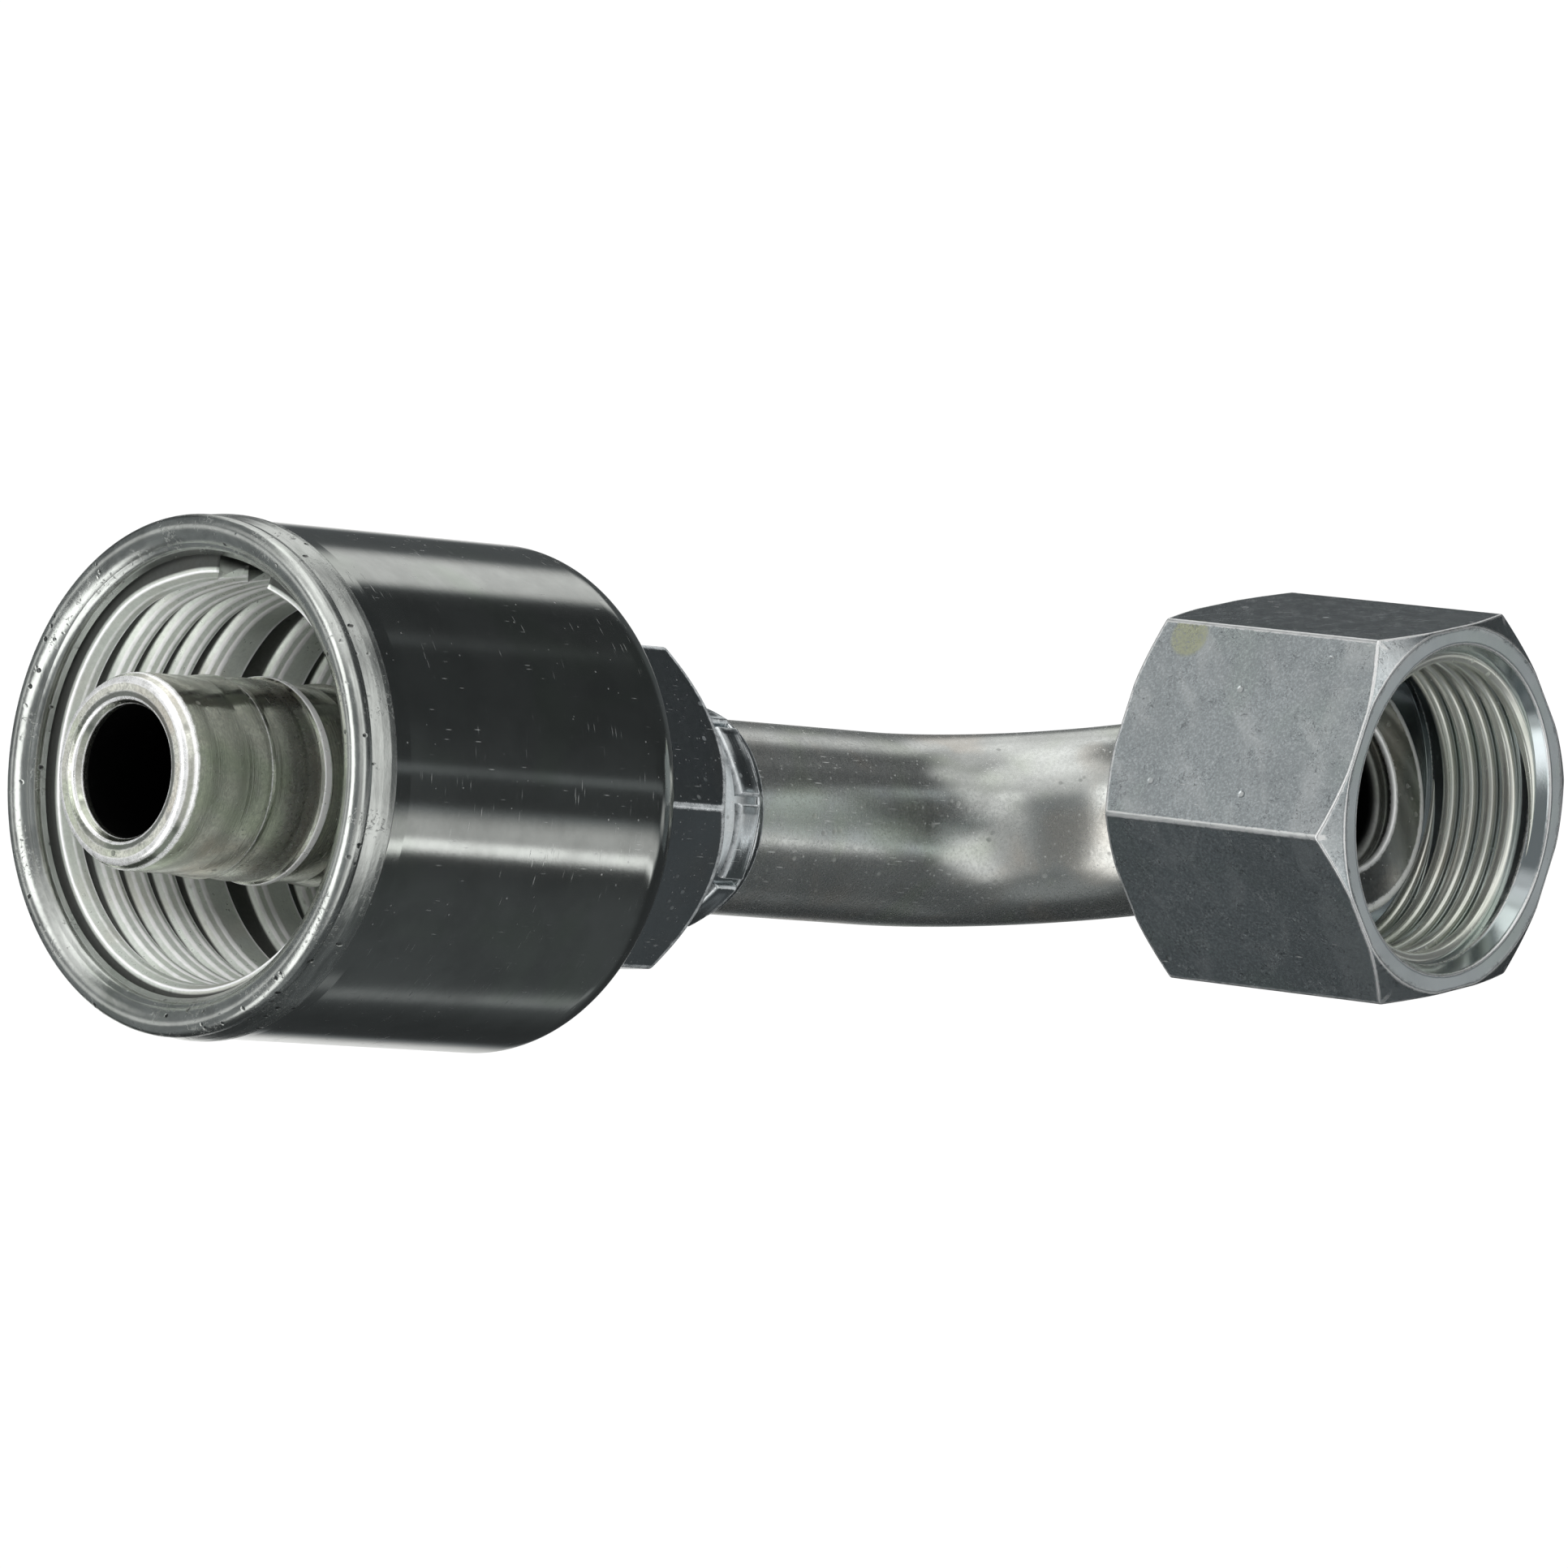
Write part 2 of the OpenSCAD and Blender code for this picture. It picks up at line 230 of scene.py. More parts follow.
def add_piece(name, points, faces, place, wear_and_painted_light):
    """A mesh object in the scene, closed and facing outwards, its place in its mesh."""
    if inside_out(points, faces):
        faces = [list(face)[::-1] for face in faces]
    mesh = bpy.data.meshes.new(name)
    mesh.from_pydata(place.put(points).tolist(), [], faces)
    mesh.shade_smooth()
    set_wear_and_painted_light(mesh, wear_and_painted_light)
    mesh.validate()
    return new_object(name, mesh)


def finished(piece, material, body, *nodes):
    """Gives a piece its material and its body, and hides the nodes it stands for."""
    piece.data.materials.clear()
    piece.data.materials.append(material)
    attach(piece, body)
    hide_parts(*nodes)


def turned_piece(name, corners, place, steps):
    """A piece turned about +Z of its place from an outline with rounded corners."""
    outline, wear_and_painted_light = rounded(corners)
    points, faces = swept_round(outline, steps)
    return add_piece(name, points, faces, place, np.repeat(wear_and_painted_light, steps))


def hexagon_reach(flats, corner_round, roll):
    """Angles round a hexagon, its reach at each one and 1 on the rounded corners."""
    spread = np.array([0, .25, .5, .75, 1, 1.25, 1.6, 2.2, 3.5, 5.5, 8, 11, 14, 17, 20, 23, 26.5])
    spread = np.concatenate([-spread[:0:-1], spread, [30]])
    corner = np.radians(np.tile(spread, 6))
    angles = corner + np.radians(np.repeat(np.arange(6) * 60, len(spread)) + roll)
    flat = flats / 2 / np.cos(np.abs(corner) - math.pi / 6)
    centre = flats / math.sqrt(3) - corner_round * 2 / math.sqrt(3)
    inside = np.maximum(corner_round ** 2 - (centre * np.sin(corner)) ** 2, 0)
    tangent = math.atan2(corner_round / 2, centre + corner_round * math.sqrt(3) / 2)
    reach = np.where(np.abs(corner) < tangent, centre * np.cos(corner) + np.sqrt(inside), flat)
    worn = np.clip(1 - (np.abs(corner) - tangent) / math.radians(0.6), 0, 1)
    return angles, reach, worn


def hexagon_piece(name, flats, corner_round, roll, outline_at, place):
    """A piece whose outline depends on the reach of a hexagon at each angle."""
    angles, reach, worn = hexagon_reach(flats, corner_round, roll)
    slices = [rounded(outline_at(r), worn=0.15) for r in reach]
    outline = np.array([s[0] for s in slices])
    wear_and_painted_light = np.array([np.maximum(s[1], w * (s[0][:, 0] > r - 0.2))
                     for s, w, r in zip(slices, worn, reach)])
    radius, height = outline[..., 0].T, outline[..., 1].T
    points = np.stack([radius * np.cos(angles), radius * np.sin(angles), height], 2)
    faces = grid_faces(len(radius), len(angles)).tolist()
    return add_piece(name, points.reshape(-1, 3), faces, place, wear_and_painted_light.T.ravel())


# ---------------------------------------------------------------- shader maths

class Value:
    """A socket of a node tree. Arithmetic on it adds Math nodes."""

    def __init__(self, tree, socket):
        self.tree = tree
        self.socket = socket

    def with_maths(self, operation, *others):
        return self.tree.node("ShaderNodeMath", {"operation": operation},
                              dict(enumerate((self,) + others)))

    def from_left(self, operation, other):
        return self.tree.node("ShaderNodeMath", {"operation": operation}, {0: other, 1: self})

    def __add__(self, other):
        return self.with_maths("ADD", other)

    def __radd__(self, other):
        return self.from_left("ADD", other)

    def __sub__(self, other):
        return self.with_maths("SUBTRACT", other)

    def __rsub__(self, other):
        return self.from_left("SUBTRACT", other)

    def __mul__(self, other):
        return self.with_maths("MULTIPLY", other)

    def __rmul__(self, other):
        return self.from_left("MULTIPLY", other)

    def __truediv__(self, other):
        return self.with_maths("DIVIDE", other)

    def __abs__(self):
        return self.with_maths("ABSOLUTE")

    def highest(self, other):
        return self.with_maths("MAXIMUM", other)

    def lowest(self, other):
        return self.with_maths("MINIMUM", other)

    def in_degrees(self):
        return self * (180 / math.pi)

    def rise(self, low, high):
        """0 below low and 1 above high, or the reverse where low is the larger one."""
        return self.tree.node("ShaderNodeMapRange", {"interpolation_type": "SMOOTHSTEP"},
                              {0: self, 1: low, 2: high, 3: 0.0, 4: 1.0})


class Builder:
    """Builds a node tree one node at a time: its settings first, then its values and links."""

    def __init__(self, tree):
        self.tree = tree

    def node(self, kind, settings=None, inputs=None, output=0):
        made = self.tree.nodes.new(kind)
        for key, value in (settings or {}).items():
            setattr(made, key, value)
        return self.filled(made, inputs or {}, output)

    def filled(self, made, inputs, output=0):
        """Sets or links the inputs of a node and returns one of its outputs."""
        for key, value in inputs.items():
            if isinstance(value, Value):
                self.tree.links.new(value.socket, made.inputs[key])
            else:
                made.inputs[key].default_value = value
        return Value(self, made.outputs[output]) if len(made.outputs) else made

    def joined(self, x, y, z):
        return self.node("ShaderNodeCombineXYZ", {}, {0: x, 1: y, 2: z})


class Growth(Builder):
    """Builds a Geometry Nodes tree, its inputs named in given."""

    def __init__(self, name, **sockets):
        super().__init__(bpy.data.node_groups.new(name, "GeometryNodeTree"))
        add_socket = self.tree.interface.new_socket
        add_socket("Geometry", in_out="OUTPUT", socket_type="NodeSocketGeometry")
        for kind, names in sockets.items():
            for socket in names:
                add_socket(socket, in_out="INPUT", socket_type=f"NodeSocket{kind}")
        source = self.tree.nodes.new("NodeGroupInput")
        self.given = {socket.name: Value(self, socket) for socket in source.outputs}

    def dressed(self, geometry, material):
        """Ends the tree with real geometry in its material."""
        real = self.node("GeometryNodeRealizeInstances", {}, {0: geometry})
        covered = self.node("GeometryNodeSetMaterial", {},
                            {"Geometry": real, "Material": material})
        self.node("NodeGroupOutput", {}, {0: covered})
        return self.tree


class Shader(Builder):
    """Builds the nodes of one material or of the world."""

    def __init__(self, owner):
        owner.use_nodes = True
        super().__init__(owner.node_tree)
        self.owner = owner
        self.tree.nodes.clear()

    def mixed(self, factor, first, second):
        """Colour that goes from the first to the second one."""
        first, second = (c if isinstance(c, Value) else (*c, 1.0) for c in (first, second))
        return self.node("ShaderNodeMix", {"data_type": "RGBA"}, {0: factor, 6: first, 7: second},
                         2)

    def layered(self, colour, *layers):
        """A colour under layers, each the factor and the colour of what lies over the last."""
        for factor, over in layers:
            colour = self.mixed(factor, colour, over)
        return colour

    def local(self, place):
        """Object coordinates in millimetres in the frame of a place."""
        back = Matrix(place.turn.T.tolist())
        offset = -(back @ Vector(place.offset))
        seen = self.node("ShaderNodeTexCoord", output=3)
        return self.node("ShaderNodeMapping", {"vector_type": "POINT"},
                         {0: seen, 1: offset, 2: back.to_euler(), 3: (1000, 1000, 1000)})

    def stretched(self, vector, scale, shift=(0, 0, 0)):
        return self.node("ShaderNodeMapping", {"vector_type": "POINT"},
                         {0: vector, 1: shift, 3: scale})

    def shifted(self, vector, shift):
        return self.stretched(vector, (1, 1, 1), shift)

    def noise(self, vector, scale, detail=2.0, roughness=0.5, distortion=0.0):
        return self.node("ShaderNodeTexNoise", {"noise_dimensions": "3D"},
                         {0: vector, 2: scale, 3: detail, 4: roughness, 8: distortion})

    def specks(self, vector, scale):
        """Distance to the nearest of many scattered points, in cells."""
        return self.node("ShaderNodeTexVoronoi", {"feature": "F1"}, {0: vector, 2: scale})

    def parts(self, vector):
        split = self.tree.nodes.new("ShaderNodeSeparateXYZ")
        self.tree.links.new(vector.socket, split.inputs[0])
        return [Value(self, output) for output in split.outputs]

    def attribute(self, name):
        return self.node("ShaderNodeAttribute", {"attribute_name": name}, output=2)

    def metal(self, colour, roughness, height, metallic=1.0):
        """Finishes the material with a surface raised by a height in millimetres."""
        normal = self.node("ShaderNodeBump", {}, {0: 1.0, 1: MM, 3: height})
        surface = self.node("ShaderNodeBsdfPrincipled", {},
                            {"Base Color": colour, "Metallic": metallic,
                             "Roughness": roughness, "Normal": normal})
        self.node("ShaderNodeOutputMaterial", {}, {0: surface})
        return self.owner


def shaded(colour):
    """The colour at 0.6 of its brightness: darker patches, and the seat's painted shade."""
    return tuple(0.6 * c for c in colour)


def new_material(name):
    return Shader(bpy.data.materials.new(name))


# ---------------------------------------------------------------- finishes

def plated_steel(name, place, tone, polish, streak=0.0, dash=0.3, pit=0.2, tint=0.5, edge=0.8,
                 mottle=0.25, dash_round=True, metallic=1.0):
    """Zinc-plated steel, bright where its wear is above zero, painted shade where it is below.

    streak is the depth of the turning marks, which run round the axis of the place, and dash
    the share of short scratches, which run round it too or, without dash_round, along it. pit
    is the share of small pits, tint the strength of the green and rose cast of the plating,
    edge that of the worn edges and mottle its cloudiness. metallic below 1 leaves a matt share.
    """
    s = new_material(name)
    at = s.local(place)
    cloud = s.noise(at, 0.22, 4.0, 0.6)
    fine = s.noise(at, 1.9, 3.0, 0.65)
    grain = s.noise(at, 7.0, 2.0, 0.6)
    cast = s.noise(s.shifted(at, (40, 7, 3)), 0.16, 2.0, 0.5, 0.6)
    marks = s.noise(s.stretched(at, (0.25, 0.25, 9.0)), 1.0, 3.0, 0.6)
    used = s.attribute("wear_and_painted_light")
    # Above zero: worn edges, and on the stem's ridge a painted highlight.
    worn = used.highest(0.0) * (0.35 + 0.9 * fine)
    # Below zero: painted shade in bores, grooves and a band of the stem.
    painted_shade = (used * -1.0).highest(0.0)

    across = (0.55, 0.55, 5.5) if dash_round else (5.5, 5.5, 0.55)
    short = s.stretched(at, across)
    dashes = s.specks(short, 0.8).rise(0.2, 0.06) * s.noise(at, 0.5, 1.0).rise(0.42, 0.65)
    hairs = s.specks(s.stretched(short, (0.55, 0.55, 2.6), (9, 5, 2)), 0.9).rise(0.12, 0.03)
    dust = s.specks(s.shifted(at, (3, 11, 5)), 1.7).rise(0.15, 0.05)
    pits = s.specks(at, 0.9).rise(0.2, 0.08) * s.noise(at, 0.35, 2.0).rise(0.45, 0.6)
    speckle = s.noise(at, 4.2, 4.0, 0.75, 0.4).rise(0.4, 0.62)

    dark = shaded(tone)
    worn_tone = tuple(min(1.0, 0.4 + 0.75 * c) for c in tone)
    colour = s.layered(
        tone,
        (cloud.rise(0.35, 0.65) * mottle * 2, dark),
        (speckle * mottle * 1.6, dark),
        (cast.rise(0.5, 0.68) * tint * 0.5, (0.58, 0.66, 0.5)),
        (cast.rise(0.48, 0.3) * tint * 0.5, (0.72, 0.62, 0.52)),
        ((worn * edge).rise(0.2, 0.7), worn_tone),
        ((dashes + hairs * 0.7 + dust * 0.7) * dash * 1.6, (0.9, 0.91, 0.9)),
        (pits * pit, (0.08, 0.08, 0.08)),
        # Painted shade, near black.
        (painted_shade, (0.025, 0.025, 0.025)))

    rough = (polish + fine * 0.06 + cloud * 0.06 + speckle * (mottle * 0.3)
             + (dashes + hairs + dust) * (dash * 0.6) + pits * 0.3 + worn * (edge * 0.22)
             + painted_shade * 0.3)
    height = (grain * 0.0012 + fine * 0.004 + marks * (streak * 0.01)
              - pits * (pit * 0.05) - dashes * (dash * 0.01))
    return s.metal(colour, rough, height, metallic - (worn * edge).rise(0.2, 0.7) * 0.3)


def rolled_rim_steel(name, place, tone):
    """The ferrule: a mirror-bright shell, burnished and nicked round its mouth."""
    s = new_material(name)
    at = s.local(place)
    rim = s.parts(at)[2].rise(3.4, 3.0)
    cloud = s.noise(at, 0.2, 4.0, 0.6)
    fine = s.noise(at, 1.7, 3.0, 0.65)
    smear = s.noise(s.stretched(at, (0.3, 0.3, 1.4)), 0.8, 4.0, 0.65, 0.4)
    cast = s.noise(s.shifted(at, (40, 7, 3)), 0.12, 2.0, 0.5, 0.6)
    marks = s.noise(s.stretched(at, (0.2, 0.2, 8.0)), 1.0, 3.0, 0.6)
    short = s.stretched(at, (0.42, 0.42, 5.5))
    dashes = s.specks(short, 0.9).rise(0.2, 0.06) * s.noise(at, 0.32, 1.0).rise(0.46, 0.64)
    hairs = (s.specks(s.stretched(at, (3.2, 3.2, 0.42), (9, 5, 2)), 0.8).rise(0.13, 0.03)
             * s.noise(at, 0.26, 2.0).rise(0.42, 0.6))
    dust = (s.specks(s.shifted(at, (3, 11, 5)), 1.3).rise(0.12, 0.03)
            * s.noise(at, 0.22, 2.0).rise(0.44, 0.6))
    nicks = (s.specks(s.stretched(at, (1, 1, 0.6)), 1.2).rise(0.24, 0.12)
             * s.noise(at, 0.3, 3.0, 0.7).rise(0.5, 0.58))
    flecks = (s.noise(at, 3.6, 4.0, 0.75, 0.8).rise(0.56, 0.64)
              * s.noise(s.shifted(at, (8, 3, 1)), 0.45, 3.0, 0.6).rise(0.5, 0.6))
    worn = s.attribute("wear_and_painted_light") * (0.1 + fine * 0.9)

    burnished = tuple(min(1.0, c * 1.3) for c in tone)
    dark = shaded(tone)
    scratched = (dashes * 0.45 + hairs * 0.6 + dust * 0.7) * (1 - rim)
    colour = s.layered(
        tone,
        (cloud.rise(0.35, 0.7) * 0.5, dark),
        (cast.rise(0.55, 0.75) * 0.3, (0.46, 0.55, 0.44)),
        (rim * smear.rise(0.3, 0.65), burnished),
        (rim * flecks * 0.4, (0.2, 0.2, 0.2)),
        (rim * nicks * 0.9, (0.04, 0.04, 0.04)),
        (scratched, (0.9, 0.91, 0.91)),
        (worn.rise(0.3, 0.8) * 0.6, (0.9, 0.9, 0.89)))

    rough = (0.07 + cloud * 0.05 + fine * 0.03 + scratched * 0.5
             + rim * (0.06 + smear * 0.14 + flecks * 0.15) + worn * 0.2)
    height = (fine * 0.0012 + marks * 0.0006
              + rim * (smear * 0.014 + fine * 0.008 - nicks * 0.06 - flecks * 0.01)
              - dashes * 0.002)
    return s.metal(colour, rough, height)


def nut_steel(name, place, tone, face):
    """The nut: plated bar stock, its flats covered with worm-like pits and scuffs.

    face is the middle of the round stain in the frame of the place.
    """
    s = new_material(name)
    at = s.local(place)
    x, y, along = s.parts(at)
    outside = (x * x + y * y).rise(11.6 ** 2, 11.8 ** 2)
    cloud = s.noise(at, 0.2, 4.0, 0.6)
    fine = s.noise(at, 2.2, 3.0, 0.65)
    grain = s.noise(at, 8.0, 2.0, 0.6)
    worm = s.noise(at, 2.4, 2.0, 0.55, 1.5)
    worms = abs(worm - 0.5).rise(0.035, 0.01) * s.noise(at, 0.9, 2.0).rise(0.48, 0.6)
    cells = s.noise(at, 5.5, 4.0, 0.75, 0.5)
    holes = s.specks(at, 0.5).rise(0.16, 0.08) * s.noise(at, 0.3, 1.0).rise(0.5, 0.6)
    side = math.atan2(face[1], face[0])
    level = y * math.cos(side) - x * math.sin(side)
    slant = s.joined((level * 0.8 + along * 0.6) * 0.14, (along * 0.8 - level * 0.6) * 0.5,
                     (x * math.cos(side) + y * math.sin(side)) * 0.3)
    smear = s.noise(slant, 1.0, 3.0, 0.55, 0.3)
    short = s.stretched(at, (3.5, 3.5, 0.5), (2, 8, 1))
    scratches = s.specks(short, 0.55).rise(0.11, 0.03) * s.noise(at, 0.25, 1.0).rise(0.52, 0.7)
    worn = s.attribute("wear_and_painted_light") * (0.1 + 1.2 * s.noise(at, 1.6, 4.0, 0.75, 0.6))
    stain = s.node("ShaderNodeVectorMath", {"operation": "DISTANCE"},
                   {0: at, 1: face}, 1).rise(1.6, 1.2) * cells.rise(0.35, 0.5)
    cast = s.noise(s.shifted(at, (40, 7, 3)), 0.16, 2.0, 0.5, 0.6)
    strip = along.rise(15.4, 16.0) * outside * s.noise(at, 0.25, 1.0).rise(0.3, 0.6)

    dark = shaded(tone)
    pale = (0.76, 0.79, 0.8)
    colour = s.layered(
        tone,
        (cloud.rise(0.35, 0.65) * 0.3, dark),
        (cast.rise(0.5, 0.72) * 0.3, (0.48, 0.58, 0.52)),
        (outside * cells.rise(0.54, 0.46) * 0.55, dark),
        (outside * cells.rise(0.56, 0.64) * 0.5, pale),
        (outside * smear.rise(0.48, 0.72) * 0.4, pale),
        (strip * 0.4, pale),
        (outside * worms * 0.7, (0.16, 0.17, 0.18)),
        (outside * holes * 0.6, (0.8, 0.82, 0.82)),
        (stain * 0.7, (0.55, 0.57, 0.36)),
        (scratches * outside * 0.9, (0.92, 0.92, 0.91)),
        (worn.rise(0.38, 0.62), (0.95, 0.96, 0.96)))

    rough = (0.1 + outside * cells * 0.05 + cloud * 0.02 + fine * 0.02 + worn * 0.3
             + scratches * 0.3)
    height = (grain * 0.0008 + fine * 0.0012
              + outside * (cells * 0.003 - worms * 0.003 - holes * 0.02) * (1 - strip * 0.7)
              + worn * 0.01)
    return s.metal(colour, rough, height, 0.98)


def seal_rubber(name, place, tone):
    """Black rubber with a fine mould grain and a little bloom."""
    s = new_material(name)
    at = s.local(place)
    bloom = s.noise(at, 1.3, 4.0, 0.6)
    grain = s.noise(at, 9.0, 3.0, 0.6)
    colour = s.mixed(bloom.rise(0.35, 0.75) * 0.4, tone, (0.09, 0.09, 0.09))
    return s.metal(colour, 0.5 + bloom * 0.2, grain * 0.006, 0.0)


def braze_metal(name, place, tone):
    """A fillet of braze under the plating, rippled and warm."""
    s = new_material(name)
    at = s.local(place)
    ripple = s.noise(s.stretched(at, (0.7, 0.7, 2.5)), 1.1, 3.0, 0.6, 0.5)
    grain = s.noise(at, 7.0, 2.0, 0.6)
    colour = s.mixed(ripple.rise(0.35, 0.7) * 0.6, tone, (0.5, 0.44, 0.32))
    return s.metal(colour, 0.28 + ripple * 0.12, ripple * 0.05 + grain * 0.003)


# ---------------------------------------------------------------- sizes

def length(name, description, default):
    return bpy.props.FloatProperty(name=name, description=description, default=default,
                                   unit="LENGTH", precision=5)


def angle_of(name, description, degrees):
    return bpy.props.FloatProperty(name=name, description=description,
                                   default=math.radians(degrees), subtype="ANGLE")


def power_of(name, description, default):
    return bpy.props.FloatProperty(name=name, description=description, default=default,
                                   min=0.0, unit="POWER")


def colour_of(name, description, default):
    return bpy.props.FloatVectorProperty(name=name, description=description, default=default,
                                         subtype="COLOR", min=0.0, max=1.0)


class FerruleSizes(bpy.types.PropertyGroup):
    outside: length("Bead diameter", "Diameter over the bead at the mouth", SHELL_DIAMETER)
    shell: length("Shell diameter", "Diameter of the shell behind the bead", 0.0325)
    depth: length("Length", "Length from mouth to back face", SHELL_LENGTH)
    bore: length("Bore", "Bore that holds the grip insert", INSERT_OUTSIDE)
    tone: colour_of("Plating", "Colour of the plated shell", (0.54, 0.56, 0.54))


class InsertSizes(bpy.types.PropertyGroup):
    land: length("Land diameter", "Diameter over the gripping lands", 0.0258)
    groove: length("Groove diameter", "Diameter at the bottom of the grooves", 0.0278)
    slit: length("Slit", "Width of the slit that lets the ring spring", 0.0046)
    turn: angle_of("Slit turn", "Turn of the slit from the top", 22.5)
    tone: colour_of("Plating", "Colour of the sprung ring", (0.83, 0.88, 0.82))


class StemSizes(bpy.types.PropertyGroup):
    nose: length("Nose", "Distance the stem stands out of the ferrule", STEM_FRONT)
    bore: length("Bore", "Bore through the stem", 0.0084)
    body: length("Stem diameter", "Diameter between the barbs", 0.0124)
    barb: length("Barb diameter", "Diameter over the shallow barbs", 0.0128)
    ridge: length("Ridge diameter", "Diameter over the sharp ridge", 0.01314)
    flats: length("Hexagon", "Width across the flats of the hexagon", 0.02064)
    roll: angle_of("Hexagon roll", "Roll of the hexagon", 98.7)
    collar: length("Collar diameter", "Diameter over the crimped collar", 0.0147)
    crimp: angle_of("Crimp roll", "Roll of the crimp marks", 113.9)
    pads: bpy.props.IntProperty(name="Crimp marks", description="Marks left by the crimping jaws",
                                default=8, min=3, max=16)
    tone: colour_of("Plating", "Colour of the plated stem", (0.88, 0.89, 0.81))
    dark: colour_of("Hexagon plating", "Colour of the hexagon and collar", (0.5, 0.54, 0.56))


class TubeSizes(bpy.types.PropertyGroup):
    tube: length("Tube diameter", "Outer diameter of the tube", TUBE_DIAMETER)
    wall: length("Wall", "Wall thickness of the tube", 0.00165)
    bend: length("Bend radius", "Bend radius on the centre line", 0.0172)
    sleeve: length("Sleeve diameter", "Outer diameter of the seat sleeve", SLEEVE_DIAMETER)
    seat_bore: length("Seat bore", "Opening in the seal face", 0.0112)
    tone: colour_of("Plating", "Colour of the plated tube", (0.68, 0.7, 0.68))
    braze: colour_of("Braze", "Colour of the braze fillet", (0.56, 0.5, 0.38))
    rubber: colour_of("Rubber", "Colour of the hidden seal ring", (0.02, 0.02, 0.02))


class NutSizes(bpy.types.PropertyGroup):
    flats: length("Flats", "Width across the flats", 0.02381)
    depth: length("Length", "Length along its axis", 0.01905)
    major: length("Thread major diameter", "Diameter at the bottom of the thread", 0.02064)
    minor: length("Thread minor diameter", "Diameter over the thread crests", 0.019)
    pitch: length("Pitch", "Thread pitch", 0.0015875)
    back: bpy.props.FloatVectorProperty(name="Back centre", description="Centre of the back face",
                                        default=(-0.07776, 0.01664, 0.00155), unit="LENGTH",
                                        precision=5)
    droop: angle_of("Droop", "Droop of the loose nut", 13.2)
    yaw: angle_of("Yaw", "Sideways turn of the loose nut", 6.7)
    roll: angle_of("Roll", "Roll of the nut about its axis", 12.1)
    tone: colour_of("Plating", "Colour of the plated nut", (0.54, 0.59, 0.61))
    # Lighter than the nut's own plating: painted light on the thread inside the nut.
    thread: colour_of("Thread", "Colour of the thread's plating", (0.82, 0.84, 0.78))


class StageSizes(bpy.types.PropertyGroup):
    floor: colour_of("Floor", "Colour of the plain floor", (0.82, 0.82, 0.81))
    reach: length("Floor reach", "Half the width of the floor", 3.0)
    lamp: power_of("Lamp", "Power of the soft lamp above", 6.0)
    front: power_of("Front lamp", "Power of the lamp in front", 6.5)
    lens: bpy.props.FloatProperty(name="Lens", description="Focal length", default=287.761,
                                  unit="CAMERA")


# ---------------------------------------------------------------- pieces

class HOSEEND_OT_ferrule(bpy.types.Operator):
    """Turn the crimp ferrule with its rolled mouth"""
    bl_idname = "hoseend.ferrule"
    bl_label = "Ferrule"

    def execute(self, context):
        sizes = context.scene.hoseend_ferrule
        bead, shell, depth = sizes.outside / MM / 2, sizes.shell / MM / 2, sizes.depth / MM
        bore = sizes.bore / MM / 2
        mouth = bead - 0.15
        roll, funnel, back_round, blend = 0.78, 1.3, 3, 0.4
        crown, lock = mouth - roll, depth - LOCK_DEPTH
        throat, throat_depth = 13.86, 1.42
        # Round the rolled mouth, back over the shell and in through the bore to the funnel.
        corners = arc((crown, roll), roll, -86, -6, 12)
        corners += [(mouth - 0.01, 0.86, 0.1), (mouth - 0.03, 1.05, 0.1),
                    (mouth - 0.09, 1.26, 0.12), (bead - 0.08, 2.1, 0.6),
                    (bead - 0.005, 2.7, 0.4), (bead - 0.005, 3.17, 0.09),
                    (shell + 0.04, 3.3, 0.1), (shell, 4.6, 0.6)]
        corners += [(shell, depth - back_round - blend, 0)]
        corners += arc((shell - back_round, depth - back_round), back_round, 2, 88, 14)
        corners += [(shell - back_round - blend, depth, 0), (LOCK_RADIUS, depth, 0.25),
                    (LOCK_RADIUS, lock, 0.1), (bore, lock, 0.4), (bore, throat_depth, 0.02),
                    (throat, throat_depth, 0), (throat + 0.48, 0.63, 0)]
        corners += arc((crown, funnel), funnel, 213, 267, 14)
        piece = turned_piece("ferrule_shell", corners, HOSE_AXIS, 288)
        material = rolled_rim_steel("burnished_ferrule", HOSE_AXIS, sizes.tone)
        finished(piece, material, "coupling", "ferrule")
        return {"FINISHED"}


